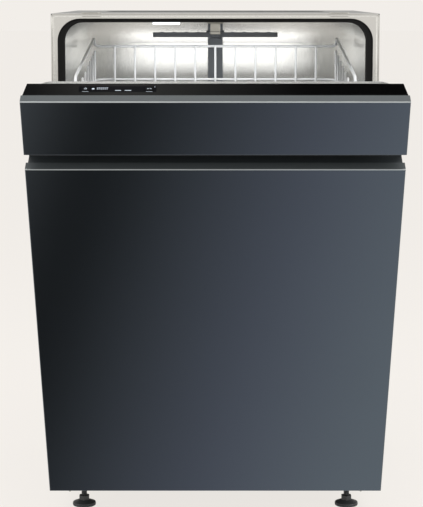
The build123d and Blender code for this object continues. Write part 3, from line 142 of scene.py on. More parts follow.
# %% Camera
PHOTO_HEIGHT_PX = 507
FOCAL_PX = 1731
SHIFT_PX = (-3.8, -15.5)
SENSOR_MM = 36
CAMERA_DISTANCE = 2.809
CAMERA_HEIGHT = 0.876
CAMERA_TILT = 8
camera_data = bpy.data.cameras.new("camera")
camera_data.sensor_width = SENSOR_MM
camera_data.lens = FOCAL_PX * SENSOR_MM / PHOTO_HEIGHT_PX
camera_data.shift_x = SHIFT_PX[0] / PHOTO_HEIGHT_PX
camera_data.shift_y = SHIFT_PX[1] / PHOTO_HEIGHT_PX
camera = placed("camera", camera_data)
camera.location = (0, mouth_y - CAMERA_DISTANCE, CAMERA_HEIGHT)
camera.rotation_euler = (math.radians(90 - CAMERA_TILT), 0, 0)
bpy.context.scene.camera = camera
print("lens", round(camera_data.lens, 1), "mm")

# %% [markdown]
# ## Light
# A studio for steel is mostly large soft cards. The fronts lean forward, so they mirror what lies
# low in front of the machine. A slanted card there fades from grey to almost black and back to
# light, and gives them the long oblique gradient of the photograph. The black cap mirrors a second
# card, high up behind the machine. All the rest is an even pale sky, a little dimmer overhead.

# %% World
world = bpy.data.worlds.new("studio")
bpy.context.scene.world = world
world.use_nodes = True
sky = world.node_tree
sky.nodes.clear()
direction = add(sky, "ShaderNodeTexCoord").outputs["Generated"]
parts = add(sky, "ShaderNodeSeparateXYZ", links={"Vector": direction})


def ramp(value, low, high, stops):
    """Colours along a value that runs from low to high."""
    share = add(sky, "ShaderNodeMapRange", {"From Min": low, "From Max": high}, {"Value": value})
    node = add(sky, "ShaderNodeValToRGB", links={"Fac": share.outputs["Result"]})
    elements = node.color_ramp.elements
    while len(elements) < len(stops):
        elements.new(0.5)
    for element, (place, colour) in zip(elements, stops):
        element.position = (place - low) / (high - low)
        element.color = rgb(colour)
    return node.outputs["Color"]


def over(under, colour, masks):
    """One colour laid over another where all the masks are 1; a mask is an output, a low and a high."""
    cover = None
    for output, low, high in masks:
        mask = add(sky, "ShaderNodeMapRange", {"From Min": low, "From Max": high}, {"Value": output})
        if cover:
            both = add(sky, "ShaderNodeMath", {"operation": "MULTIPLY"},
                       {0: cover, 1: mask.outputs["Result"]})
            cover = both.outputs["Value"]
        else:
            cover = mask.outputs["Result"]
    mix = add(sky, "ShaderNodeMix", {"data_type": "RGBA"})
    for socket, output in ((0, cover), (6, under), (7, colour)):
        sky.links.new(output, mix.inputs[socket])
    return mix.outputs[2]


SKY_STOPS = ((0.03, "#F2EEE9"), (0.5, "#C6C4C2"))
FRONT_STOPS = ((-0.3, "#B0B2B0"), (-0.268, "#343634"), (-0.24, "#1A1C1A"), (-0.215, "#575A58"),
               (-0.16, "#979BA1"), (-0.12, "#B2B6C3"), (-0.08, "#CDD3DC"), (-0.03, "#E6F0F2"))
CAP_STOPS = ((-0.107, "#585858"), (-0.055, "#D4D4D0"), (0.0, "#8A8A8A"), (0.05, "#0A0A0A"))
# The front card changes from left to right, and a little from front to back
FADES_ALONG = (1, 0.36, 0)
slant = add(sky, "ShaderNodeVectorMath", {"operation": "DOT_PRODUCT"}, {0: direction})
slant.inputs[1].default_value = FADES_ALONG
pale = ramp(parts.outputs["Z"], 0.0, 0.5, SKY_STOPS)
front_card = ramp(slant.outputs["Value"], -0.34, 0.0, FRONT_STOPS)
cap_card = ramp(parts.outputs["X"], -0.12, 0.12, CAP_STOPS)
light = over(pale, front_card, ((parts.outputs["Z"], -0.35, -0.6), (parts.outputs["Y"], -0.1, -0.2)))
light = over(light, cap_card, ((parts.outputs["Z"], 0.7, 0.78), (parts.outputs["Y"], 0.3, 0.4)))
background = add(sky, "ShaderNodeBackground", {"Strength": 1.0}, {"Color": light})
add(sky, "ShaderNodeOutputWorld", links={"Surface": background.outputs["Background"]})
print("sky and two cards ready")

# %% Softboxes
def softbox(name, place, target, size, power):
    """A soft white area light at a place, facing a target and hidden from the camera."""
    data = bpy.data.lights.new(name, "AREA")
    data.shape = "RECTANGLE"
    data.size, data.size_y = size
    data.energy = power
    light = placed(name, data)
    light.location = place
    light.rotation_euler = (Vector(target) - Vector(place)).to_track_quat("-Z", "Y").to_euler()
    light.visible_camera = False


softbox("overhead", (0, -0.4, 2.6), (0, -0.1, 0.4), (2.4, 1.6), 24)
softbox("right_card", (2.2, -1.4, 1.3), (0, 0, 0.5), (1.4, 1.8), 22)
softbox("left_card", (-2.2, -1.0, 1.3), (0, 0, 0.5), (1.0, 1.8), 10)
softbox("tub_lamp", (0, 0.15, 0.76), (0, 0.35, 0.3), (0.36, 0.2), 0.4)
print("four softboxes")

# %% Floor
FLOOR_REACH = 40
FLOOR_GLOW = 0.89
floor_mesh = bmesh.new()
bmesh.ops.create_grid(floor_mesh, x_segments=1, y_segments=1, size=FLOOR_REACH)
floor_data = bpy.data.meshes.new("floor")
floor_mesh.to_mesh(floor_data)
floor_mesh.free()
floor = placed("floor", floor_data)
# The fronts mirror the cards, not the floor, and its glow melts it into the pale room
floor.visible_glossy = False
floor_material, _, shader, _ = new_material("studio_floor")
put(shader, {"Base Color": rgb("#6C6A68"), "Roughness": 1.0, "Specular IOR Level": 0.0,
             "Emission Color": rgb("#F2EEE9"), "Emission Strength": FLOOR_GLOW})
floor.data.materials.append(floor_material)
print("floor laid")

# %% [markdown]
# ## Finishes
# Each finish starts from what the thing is made of, then gets the fine unevenness that its making
# leaves: rolling marks in sheet, grain in moulded plastic, a slight orange peel in coating.

# %% Slow changes over a surface
def uneven(tree, shader, place, grain, tone, rough, patches):
    """Lets the tone drift over a surface, and its roughness follow the grain.

    tone is a colour and its spread, rough a roughness and its spread, patches a scale and a detail.
    """
    slow = add(tree, "ShaderNodeTexNoise", dict(zip(("Scale", "Detail"), patches)), {"Vector": place})
    drift = add(tree, "ShaderNodeValToRGB", links={"Fac": slow.outputs["Fac"]})
    base = Vector(rgb(tone[0])[:3])
    for element, change in zip(drift.color_ramp.elements, (-tone[1], tone[1])):
        element.color = (*(base * (1 + change)), 1)
    tree.links.new(drift.outputs["Color"], shader.inputs["Base Color"])
    middle, spread = rough
    limits = {"To Min": middle * (1 - spread), "To Max": middle * (1 + spread)}
    follow = add(tree, "ShaderNodeMapRange", limits, {"Value": grain})
    tree.links.new(follow.outputs["Result"], shader.inputs["Roughness"])


print("unevenness ready")

# %% Rolled and brushed metal
LINE_LENGTH = 60


def rolled_metal(name, colour, roughness, grain_mm, along, spread, bump, dents_mm=0.0):
    """Metal whose fine lines run along one axis, with a slow change of tone."""
    material, tree, shader, place = new_material(name)
    stretch = [1 / (grain_mm * MM)] * 3
    stretch["XYZ".index(along)] /= LINE_LENGTH
    lines = add(tree, "ShaderNodeVectorMath", {"operation": "MULTIPLY"}, {0: place})
    lines.inputs[1].default_value = stretch
    grain = add(tree, "ShaderNodeTexNoise", {"Scale": 1.0, "Detail": 3.0},
                {"Vector": lines.outputs["Vector"]}).outputs["Fac"]
    uneven(tree, shader, place, grain, (colour, spread), (roughness, 0.15), (6.0, 2.0))
    put(shader, {"Metallic": 1.0})
    relief = add(tree, "ShaderNodeBump", {"Strength": 0.25, "Distance": bump}, {"Height": grain})
    if dents_mm:
        waves = add(tree, "ShaderNodeTexNoise", {"Scale": 9.0, "Detail": 1.0}, {"Vector": place})
        relief = add(tree, "ShaderNodeBump", {"Strength": 0.5, "Distance": dents_mm * MM},
                     {"Height": waves.outputs["Fac"], "Normal": relief.outputs["Normal"]})
    tree.links.new(relief.outputs["Normal"], shader.inputs["Normal"])
    return material


# Slot, name, colour, roughness, grain in mm, way of the lines, spread of tone, relief in m and, where the
# sheet is wavy, the depth of its dents in mm
METALS = (
    # Stainless sheet with a dark tint, brushed so finely that it looks satin
    ("door_front", "tinted_steel", "#62676E", 0.12, 0.35, "X", 0.02, 0.00004),
    # The bend along the top of a front gets a bright steel: a painted highlight line along the edge
    ("painted_highlight_bend", "painted_highlight_steel", "#C4C9CA", 0.4, 0.5, "X", 0.04, 0.0001),
    # Bright cold rolled stainless, a little wavy where it was drawn
    ("tub_steel", "bright_stainless", "#D9D9D6", 0.16, 0.5, "Z", 0.04, 0.0004, 0.5),
    ("liner_steel", "liner_stainless", "#DADAD7", 0.28, 0.5, "X", 0.04, 0.0003, 0.2),
    # Zinc plated and galvanised sheet, duller and warmer
    ("zinc_sheet", "galvanised_sheet", "#A9ABAA", 0.42, 1.2, "Z", 0.16, 0.0008),
    ("hinge_steel", "zinc_plated_steel", "#B4B3AC", 0.3, 0.8, "Y", 0.1, 0.0005),
    ("rail_steel", "rail_stainless", "#BEBEBB", 0.26, 0.5, "Y", 0.05, 0.0003),
    ("spring_steel", "drawn_spring_wire", "#8C8A84", 0.28, 0.4, "Z", 0.08, 0.0003),
    ("screw_steel", "screw_zinc", "#B9B8B2", 0.3, 0.4, "X", 0.08, 0.0003),
    ("filter_mesh", "filter_stainless", "#B8B8B5", 0.3, 0.4, "X", 0.06, 0.0003),
    ("pump_metal", "cast_motor_can", "#8B8E90", 0.45, 1.5, "X", 0.12, 0.0008),
)
finish = {slot: rolled_metal(*settings) for slot, *settings in METALS}

# The holes of the filter are finer than a render shows, so they are drawn a little apart, each as a dark spot of
# painted shade
HOLE_PITCH = 2.4 * MM
mesh_tree = finish["filter_mesh"].node_tree
mesh_place = add(mesh_tree, "ShaderNodeTexCoord").outputs["Object"]
holes = add(mesh_tree, "ShaderNodeTexVoronoi", {"Scale": 1 / HOLE_PITCH, "Randomness": 0.0},
            {"Vector": mesh_place})
hole_shade_paint = add(mesh_tree, "ShaderNodeValToRGB", links={"Fac": holes.outputs["Distance"]})
# The dark stop is the painted shade seen through a hole, the light one the steel between the holes
for element, (share, colour) in zip(hole_shade_paint.color_ramp.elements, ((0.3, "#15171A"), (0.36, "#B8B8B5"))):
    element.position = share
    element.color = rgb(colour)
mesh_tree.links.new(hole_shade_paint.outputs["Color"], shader_of(finish["filter_mesh"]).inputs["Base Color"])
print(len(finish), "metals")

# %% Moulded plastic, rubber and coating
def moulded(name, colour, roughness, grain_mm, bump_mm, spread=0.08, coat=0.0, specular=0.5):
    """Plastic, rubber or coating with a fine all over grain."""
    material, tree, shader, place = new_material(name)
    grain = add(tree, "ShaderNodeTexNoise", {"Scale": 1 / (grain_mm * MM), "Detail": 2.0},
                {"Vector": place}).outputs["Fac"]
    uneven(tree, shader, place, grain, (colour, spread), (roughness, 0.1), (14.0, 3.0))
    put(shader, {"Coat Weight": coat, "Specular IOR Level": specular})
    relief = add(tree, "ShaderNodeBump", {"Strength": 0.4, "Distance": bump_mm * MM}, {"Height": grain})
    tree.links.new(relief.outputs["Normal"], shader.inputs["Normal"])
    return material


# Slot, name, colour, roughness, grain and relief in mm and, where they aren't the usual ones, spread of
# tone, weight of a clear coat and strength of the gloss
PLASTICS = (
    # Glass-filled ABS of the grip, slightly grained
    ("grip_plastic", "grip_abs", "#33383B", 0.42, 0.8, 0.05),
    # The tinted steel turns matt on the folded top faces, so they catch the light of the room
    ("front_edge", "matt_folded_face", "#4C5254", 0.5, 0.8, 0.01, 0.04),
    # Polished black cap, as smooth as lacquer
    ("fascia_plastic", "black_gloss_abs", "#060606", 0.1, 3.0, 0.002, 0.02, 0.0, 0.2),
    ("display_glass", "display_glass", "#020207", 0.06, 4.0, 0.001, 0.02, 0.0, 0.06),
    ("key_plastic", "key_abs", "#040407", 0.25, 1.0, 0.01, 0.08, 0.0, 0.08),
    ("housing_plastic", "black_pbt", "#1E1F21", 0.55, 0.9, 0.06),
    ("seal_rubber", "epdm_rubber", "#040404", 0.45, 0.5, 0.05, 0.12, 0.0, 0.25),
    ("base_plastic", "base_polypropylene", "#26282A", 0.58, 1.0, 0.08),
    ("foot_plastic", "foot_polyamide", "#3A3C3E", 0.5, 0.9, 0.06),
    # Nylon powder coat on the wires, thick and slightly wavy
    ("rack_wire", "nylon_coat", "#ECEEF0", 0.3, 2.5, 0.08, 0.02, 0.2),
    ("rack_plastic", "rack_polypropylene", "#9AA0A6", 0.42, 1.0, 0.05),
    ("spray_plastic", "spray_polypropylene", "#777D84", 0.4, 1.0, 0.05),
    ("filter_plastic", "filter_polypropylene", "#5E646B", 0.42, 0.9, 0.05),
    ("sump_plastic", "sump_polypropylene", "#2A2C2E", 0.5, 1.0, 0.06),
    ("cap_plastic", "cap_polypropylene", "#565C63", 0.4, 0.9, 0.05),
    ("softener_plastic", "softener_polyethylene", "#DAD9D3", 0.46, 1.2, 0.06),
    ("dispenser_plastic", "dispenser_polypropylene", "#8B9097", 0.38, 0.9, 0.04),
    ("connector_plastic", "connector_polyamide", "#D5D4CF", 0.4, 0.8, 0.04),
    # The lamp of the tub glows
    ("light_lens", "frosted_lens", "#F4F7F9", 0.35, 0.8, 0.03),
)
finish |= {slot: moulded(*settings) for slot, *settings in PLASTICS}
put(shader_of(finish["light_lens"]), {"Emission Color": rgb("#F2F8FF"), "Emission Strength": 2.0})
print(len(finish), "finishes in all")

# %% [markdown]
# ## Shaping
# Pieces that stay plain sheet or block keep their solid and only get softer edges. The others are
# drawn afresh. Both kinds end the same way: crisp where the real edge is crisp, in the finish of the
# solid that they stand for, and riding on its body.

# %% Finish a piece
bodies = frame["record"]["behaviour"]["bodies"]
body_of = {node: body for body, members in bodies.items() for node in members}
slot_of = {row["node"]: row["material_slot"] for row in frame["record"]["subparts"]}
CRISP_DEGREES = 35


def finished(name, bm, node, slot=None):
    """Turns a bmesh into a piece that stands in for a node, or adds to it in a slot of its own."""
    for face in bm.faces:
        face.smooth = True
    for edge in bm.edges:
        if edge.is_manifold:
            edge.smooth = edge.calc_face_angle() < math.radians(CRISP_DEGREES)
    data = bpy.data.meshes.new(name)
    bm.to_mesh(data)
    bm.free()
    piece = placed(name, data)
    shading = piece.modifiers.new("even_shading", "WEIGHTED_NORMAL")
    shading.keep_sharp = True
    if slot is None:
        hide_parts(node)
        slot = slot_of[node]
    data.materials.append(finish[slot])
    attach(piece, body_of[node])
    print(name, len(data.polygons), "faces")
    return piece


def drawn(name, bm, node, slot=None):
    """Finishes a piece that was drawn afresh, its faces all turned outwards."""
    bmesh.ops.recalc_face_normals(bm, faces=bm.faces)
    return finished(name, bm, node, slot)


print(len(body_of), "nodes know their body and their finish")

# %% Soften a solid
def merged(node):
    """A copy of a node as one clean mesh, its triangles joined and its flats made whole."""
    bm = bmesh.new()
    bm.from_mesh(nodes[node].data)
    bmesh.ops.remove_doubles(bm, verts=bm.verts, dist=0.01 * MM)
    bmesh.ops.dissolve_limit(bm, angle_limit=math.radians(1), verts=bm.verts, edges=bm.edges)
    return bm


def round_edges(bm, radius, segments=2, sharper_than=30, edges=None):
    """Rounds the edges that are sharper than an angle, or the ones given."""
    if edges is None:
        edges = [e for e in bm.edges if e.is_manifold and e.calc_face_angle() > math.radians(sharper_than)]
    bmesh.ops.bevel(bm, geom=edges, offset=radius, segments=segments, profile=0.5, affect="EDGES",
                    material=-1, clamp_overlap=True)


def soften(node, radius):
    """Replaces a node with a copy whose edges are rounded."""
    bm = merged(node)
    round_edges(bm, radius)
    finished(node + "_formed", bm, node)


def upright_box(node):
    """Corners of a piece of the door, with the door shut."""
    points = [swing.inverted() @ vert.co for vert in nodes[node].data.vertices]
    return [Vector([pick(point[i] for point in points) for i in range(3)]) for pick in (min, max)]


print("softening ready")

# %% Blocks, pins and turned shapes
def edges_at(verts):
    """All the edges that meet some vertices."""
    return list({edge for vert in verts for edge in vert.link_edges})


def slab(bm, low, high, radius=0.0, segments=2):
    """A block between two corners, with rounded edges."""
    low, high = Vector(low), Vector(high)
    verts = bmesh.ops.create_cube(bm, size=1)["verts"]
    bmesh.ops.scale(bm, vec=high - low, verts=verts)
    bmesh.ops.translate(bm, vec=(low + high) / 2, verts=verts)
    if radius:
        round_edges(bm, radius, segments, edges=edges_at(verts))


def turned(bm, start, axis, profile, steps=32):
    """A shape turned on a lathe, its profile a list of distances along the axis and radii."""
    axis = Vector(axis).normalized()
    across = axis.orthogonal().normalized()
    verts = [bm.verts.new(Vector(start) + axis * along + across * radius) for along, radius in profile]
    edges = [bm.edges.new(pair) for pair in zip(verts, verts[1:])]
    bmesh.ops.spin(bm, geom=verts + edges, cent=start, axis=axis, angle=math.tau, steps=steps,
                   use_merge=True)
    bmesh.ops.remove_doubles(bm, verts=bm.verts, dist=0.001 * MM)


def in_mm(pairs):
    """Pairs of millimetres in metres."""
    return [(a * MM, b * MM) for a, b in pairs]


def pin(bm, start, end, radius, chamfer=0.3 * MM, steps=20):
    """A round pin between two points, its ends slightly chamfered."""
    length = (Vector(end) - Vector(start)).length
    turned(bm, start, Vector(end) - Vector(start),
           [(0, 0), (0, radius - chamfer), (chamfer, radius), (length - chamfer, radius),
            (length, radius - chamfer), (length, 0)], steps)


print("blocks, pins and turned shapes ready")

# %% [markdown]
# ## Bent wire
# A rack is welded from straight wires that were bent up at the walls. A wire starts as a circle. It
# is pulled along each run and spun round each corner, so every bend has a true radius, and its ends
# are drawn in a little, as the coating does.

# %% Bend a wire
BEND_STEP = math.radians(30)
STRAIGHT = 0.01


def pulled(bm, edges):
    """Extrudes an open rim in place, and gives its new vertices and edges."""
    geom = bmesh.ops.extrude_edge_only(bm, edges=edges)["geom"]
    ring = [g for g in geom if isinstance(g, bmesh.types.BMVert)]
    rim = [g for g in geom if isinstance(g, bmesh.types.BMEdge) and all(v in ring for v in g.verts)]
    return ring, rim


def bent_wire(bm, points, thickness, bend=10 * MM, closed=False, sides=8):
    """A round wire along straight runs, with bent corners and drawn in ends."""
    points = [Vector(point) for point in points]
    if closed:
        middle = (points[0] + points[1]) / 2
        points = [middle] + points[1:] + [points[0], middle]
    runs = [(b - a).normalized() for a, b in zip(points, points[1:])]
    turn = runs[0].to_track_quat("Z", "Y").to_matrix().to_4x4()
    ring = bmesh.ops.create_circle(bm, segments=sides, radius=thickness / 2,
                                   matrix=Matrix.Translation(points[0]) @ turn)["verts"]
    edges = edges_at(ring)
    first = list(edges)
    spent = 0.0
    for i, run in enumerate(runs):
        last = i == len(runs) - 1
        angle = 0.0 if last else run.angle(runs[i + 1])
        setback = bend * math.tan(angle / 2)
        length = (points[i + 1] - points[i]).length - spent - setback - (MM if last and closed else 0)
        ring, edges = pulled(bm, edges)
        bmesh.ops.translate(bm, verts=ring, vec=run * length)
        spent = setback
        if not last and angle > STRAIGHT:
            axis = run.cross(runs[i + 1]).normalized()
            centre = points[i + 1] - run * setback + axis.cross(run) * bend
            geom = bmesh.ops.spin(bm, geom=edges, cent=centre, axis=axis, angle=angle,
                                  steps=max(1, math.ceil(angle / BEND_STEP)))["geom_last"]
            edges = [g for g in geom if isinstance(g, bmesh.types.BMEdge)]
    if closed:
        bmesh.ops.bridge_loops(bm, edges=first + edges)
    else:
        draw_in(bm, first, points[0], -runs[0], thickness)
        draw_in(bm, edges, points[-1], runs[-1], thickness)


def draw_in(bm, edges, centre, way, thickness):
    """Closes the end of a wire with a small dome."""
    ring, rim = pulled(bm, edges)
    bmesh.ops.scale(bm, vec=(0.6, 0.6, 0.6), space=Matrix.Translation(-centre), verts=ring)
    bmesh.ops.translate(bm, verts=ring, vec=way * thickness * 0.3)
    bmesh.ops.contextual_create(bm, geom=rim)


def spaced(low, high, pitch):
    """Evenly spaced places from low to high, about a pitch apart."""
    count = max(1, round((high - low) / pitch))
    return [low + (high - low) * i / count for i in range(count + 1)]


print("wire bender ready")

# %% [markdown]
# ## Lower rack
# The floor wires run both ways and turn up into the walls. Welded round them are a thick rim and two
# thinner hoops with round corners. Plates stand between rows of tines on cross bars.

# %% Sizes of the racks
WIRE = 4 * MM
RIM_WIRE = 5 * MM
# Crossing wires melt into each other a little where they are welded
WELD = 3.8 * MM
# From the end of a rack to the middle of its outermost wire
END = 3 * MM
PITCH = 36.5 * MM
CROSS_PITCH = 1.6 * PITCH
SHELF_INSET = 12 * MM
# Half the width of a rack, between the middles of its side wires
HALF = -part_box("cup_shelf")[0].x - WIRE / 2 + SHELF_INSET
tub_floor_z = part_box("tub_floor")[1].z
across = spaced(-HALF, HALF, PITCH)
between = [(a + b) / 2 for a, b in zip(across, across[1:])]
print("rack is", round(2 * HALF / MM), "mm wide")


# %% Basket
def basket(bm, y0, y1, floor, rims, bend=12 * MM):
    """Floor wires that turn up into the walls; rims gives the height of the front and the rear rim."""
    front_rim, rear_rim = rims
    inner = HALF - WELD

    def rim_at(y):
        return front_rim + (rear_rim - front_rim) * (y - y0) / (y1 - y0)

    for x in across[1:-1]:
        bent_wire(bm, [(x, y0 + WELD, front_rim), (x, y0 + WELD, floor), (x, y1 - WELD, floor),
                       (x, y1 - WELD, rear_rim)], WIRE, bend)
    for y in spaced(y0, y1, CROSS_PITCH)[1:-1]:
        level = floor + WELD
        ends = [(-inner, y, rim_at(y)), (inner, y, rim_at(y))]
        bent_wire(bm, [ends[0], (-inner, y, level), (inner, y, level), ends[1]], WIRE, bend)


def hoop(bm, y0, y1, front_z, rear_z, thickness, corner=25 * MM):
    """A closed wire round the basket."""
    bent_wire(bm, [(-HALF, y0, front_z), (HALF, y0, front_z), (HALF, y1, rear_z), (-HALF, y1, rear_z)],
              thickness, corner, closed=True, sides=10)


def tine_row(bm, bar_start, bar_end, places, aside, height):
    """A bar with upright tines welded to its side, at the places given along it."""
    bent_wire(bm, [bar_start, bar_end], WIRE)
    for place in places:
        foot = Vector(place) + Vector(aside)
        bent_wire(bm, [foot - Vector((0, 0, WIRE / 2)), foot + Vector((0, 0, height - WIRE / 3))], WIRE)


print("basket, hoop and tine row ready")

# %% Lower basket
FLOOR_LIFT = 40 * MM
HOOP_LIFT = 8 * MM
HOOP_SHARES = (1 / 6, 3 / 6)
TINE_SHARES = (0.145, 0.27, 0.505, 0.63)
low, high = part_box("lower_rack_basket")
lower_y0 = low.y + END
lower_y1 = high.y - END
lower_floor = tub_floor_z + FLOOR_LIFT
lower_rim = high.z - RIM_WIRE / 2
lower_length = lower_y1 - lower_y0
tine_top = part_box("folding_tines")[1].z
bm = bmesh.new()
basket(bm, lower_y0, lower_y1, lower_floor, (lower_rim, lower_rim))
hoop(bm, lower_y0, lower_y1, lower_rim, lower_rim, RIM_WIRE)
for share in HOOP_SHARES:
    z = lower_floor + HOOP_LIFT + share * (lower_rim - lower_floor)
    hoop(bm, lower_y0, lower_y1, z, z, WIRE)
for share in TINE_SHARES:
    y = lower_y0 + share * lower_length
    z = lower_floor + WELD
    tine_row(bm, (between[0] - WIRE, y, z), (between[-1] + WIRE, y, z), [(x, y, z) for x in between],
             (0, WELD, 0), tine_top - z)
print(len(bm.faces), "faces so far")

# %% Wheel carriers
# Each carrier is a moulded plate clipped on the side wires, with an axle and its head.
def sideways(side, near, far):
    """Two distances in mm beyond the side wires as a low and a high x, on one side."""
    return sorted((side * (HALF + WIRE / 2 + near * MM), side * (HALF + WIRE / 2 + far * MM)))


wheel_low, wheel_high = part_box("front_wheels")
WHEEL_RADIUS = (wheel_high.z - wheel_low.z) / 2
AXLE_RADIUS = 4 * MM
AXLE_HEAD_RADIUS = 6 * MM
CARRIER_HALF = 14 * MM
CARRIER_SOFT = 1.5 * MM
BEAD_HALF = 10 * MM
wheel_z = wheel_low.z + WHEEL_RADIUS
wheel_places = [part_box(name)[0].y + WHEEL_RADIUS for name in ("front_wheels", "rear_wheels")]
for side in (-1, 1):
    for y in wheel_places:
        left, right = sideways(side, 0, 4)
        slab(bm, (left, y - CARRIER_HALF, wheel_z - 10 * MM),
             (right, y + CARRIER_HALF, lower_floor + 24 * MM), CARRIER_SOFT, 3)
        left, right = sideways(side, -5, 2)
        slab(bm, (left, y - BEAD_HALF, lower_floor + 10 * MM),
             (right, y + BEAD_HALF, lower_floor + 22 * MM), CARRIER_SOFT)
        left, right = sideways(side, 3, 16)
        pin(bm, (left, y, wheel_z), (right, y, wheel_z), AXLE_RADIUS)
        left, right = sideways(side, 15.4, 16.9)
        pin(bm, (left, y, wheel_z), (right, y, wheel_z), AXLE_HEAD_RADIUS, 0.5 * MM)
drawn("lower_basket", bm, "lower_rack_basket")

# %% Folding tines
low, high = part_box("folding_tines")
fold_y = low.y + WIRE / 2
fold_z = low.z + WIRE / 2
bm = bmesh.new()
tine_row(bm, (across[1], fold_y, fold_z), (across[-2], fold_y, fold_z),
         [(x, fold_y, fold_z) for x in between[2:-2]], (0, WELD, 0), tine_top - fold_z)
drawn("folding_row", bm, "folding_tines")

# %% Clips that hold the folding row
CLIP_HALF = 4 * MM
clip_low = lower_floor - 3.4 * MM
clip_high = fold_z + 5 * MM
# Two cheeks and the bridge under them: front and back in mm, bottom, top, rounding in mm
CLIP_BLOCKS = ((-6, -2.3, clip_low, clip_high, 1), (2.3, 6, clip_low, clip_high, 1),
               (-6, 6, lower_floor - 3.6 * MM, lower_floor - 2.2 * MM, 0.4))
bm = bmesh.new()
for x in (across[2], across[-3]):
    for y_low, y_high, z_low, z_high, soft in CLIP_BLOCKS:
        slab(bm, (x - CLIP_HALF, fold_y + y_low * MM, z_low), (x + CLIP_HALF, fold_y + y_high * MM, z_high),
             soft * MM)
finished("folding_row_clips", bm, "lower_rack_basket", slot="rack_plastic")

# %% [markdown]
# The wheels are moulded with spokes. We turn the tyre and the hub, and set spokes between them.

# %% Wheels
WHEEL_WIDTH = 10 * MM
SPOKES = 6
# The hub, as distances from the inner face and radii
HUB_MM = ((0, 4.1), (0, 6), (0.5, 6.5), (9.5, 6.5), (10, 6), (10, 4.1), (0, 4.1))


def wheel(bm, centre, way):
    """One spoked wheel; way points from its inner to its outer face."""
    centre, way = Vector(centre), Vector(way)
    width = WHEEL_WIDTH
    start = centre - way * width / 2
    tread = WHEEL_RADIUS
    tyre = [(0.5 * MM, tread - 3.6 * MM), (0, tread - 3 * MM), (0, tread - 1.2 * MM), (1.2 * MM, tread),
            (width - 1.2 * MM, tread), (width, tread - 1.2 * MM), (width, tread - 3 * MM),
            (width - 0.5 * MM, tread - 3.6 * MM), (0.5 * MM, tread - 3.6 * MM)]
    turned(bm, start, way, tyre, 40)
    turned(bm, start, way, in_mm(HUB_MM), 28)
    for i in range(SPOKES):
        angle = math.tau * i / SPOKES
        verts = bmesh.ops.create_cube(bm, size=1)["verts"]
        bmesh.ops.scale(bm, vec=(5 * MM, 1.8 * MM, tread - 9.2 * MM), verts=verts)
        bmesh.ops.translate(bm, vec=(0, 0, (tread + 2.6 * MM) / 2), verts=verts)
        bmesh.ops.rotate(bm, cent=(0, 0, 0), matrix=Matrix.Rotation(angle, 3, "X"), verts=verts)
        bmesh.ops.translate(bm, vec=centre, verts=verts)


for name in ("front_wheels", "rear_wheels"):
    low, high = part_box(name)
    bm = bmesh.new()
    for side in (-1, 1):
        centre_x = side * (high.x - WHEEL_WIDTH / 2)
        wheel(bm, (centre_x, (low.y + high.y) / 2, (low.z + high.z) / 2), (side, 0, 0))
    drawn(name + "_spoked", bm, name)

# %% [markdown]
# ## Upper rack
# Its side rims rise to the back and dip at both ends to meet the lower front and rear walls. Cups
# lean on three rows of short tines, and a wire shelf for cups tips up on the left.

# %% Upper basket
RIM_SLOPE = 55 * MM
DIP = 17 * MM
DIP_LENGTH = 26 * MM
UPPER_HOOP_SHARES = (0.2, 0.6)
CUP_ROW_SHARES = (-0.275, -0.045, 0.185)
CUP_END = 30 * MM
CUP_TINE = 60 * MM
low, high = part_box("upper_rack_basket")
upper_y0 = low.y + END
upper_y1 = high.y - END
upper_floor = low.z + WIRE / 2
upper_rear = high.z - RIM_WIRE / 2
upper_front = upper_rear - RIM_SLOPE
bm = bmesh.new()
basket(bm, upper_y0, upper_y1, upper_floor, (upper_front - DIP, upper_rear - DIP))
side_rim = [(upper_y0, upper_front - DIP), (upper_y0 + DIP_LENGTH, upper_front + 4 * MM),
            (upper_y1 - DIP_LENGTH, upper_rear - 3 * MM), (upper_y1, upper_rear - DIP)]
right_rim = [(HALF, y, z) for y, z in side_rim]
left_rim = [(-HALF, y, z) for y, z in side_rim]
bent_wire(bm, left_rim[:1] + right_rim + left_rim[:0:-1], RIM_WIRE, 9 * MM, closed=True, sides=10)
for share in UPPER_HOOP_SHARES:
    front_z = upper_floor + share * (upper_front - DIP - upper_floor)
    rear_z = upper_floor + share * (upper_rear - DIP - upper_floor)
    hoop(bm, upper_y0, upper_y1, front_z, rear_z, WIRE)
cup_places = spaced(upper_y0 + CUP_END, upper_y1 - CUP_END, 1.1 * PITCH)
for share in CUP_ROW_SHARES:
    x = share * 2 * HALF
    z = upper_floor + WELD
    tine_row(bm, (x, cup_places[0] - WIRE, z), (x, cup_places[-1] + WIRE, z),
             [(x, y, z) for y in cup_places], (WELD, 0, 0), CUP_TINE - WELD)
drawn("upper_basket", bm, "upper_rack_basket")

# %% Rails on the basket
RAIL_HALF = 8 * MM
RAIL_STEP = 5.2 * MM
bm = bmesh.new()
rail_low, rail_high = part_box("rail_slides")
rail_mid = (rail_low.z + rail_high.z) / 2
for side in (-1, 1):
    near, far = sorted((side * (HALF + WIRE / 2), side * (rail_high.x - RAIL_STEP)))
    slab(bm, (near, upper_y0, rail_mid - RAIL_HALF), (far, upper_y1, rail_mid + RAIL_HALF), 0.8 * MM)
finished("rack_rail_members", bm, "upper_rack_basket", slot="rail_steel")

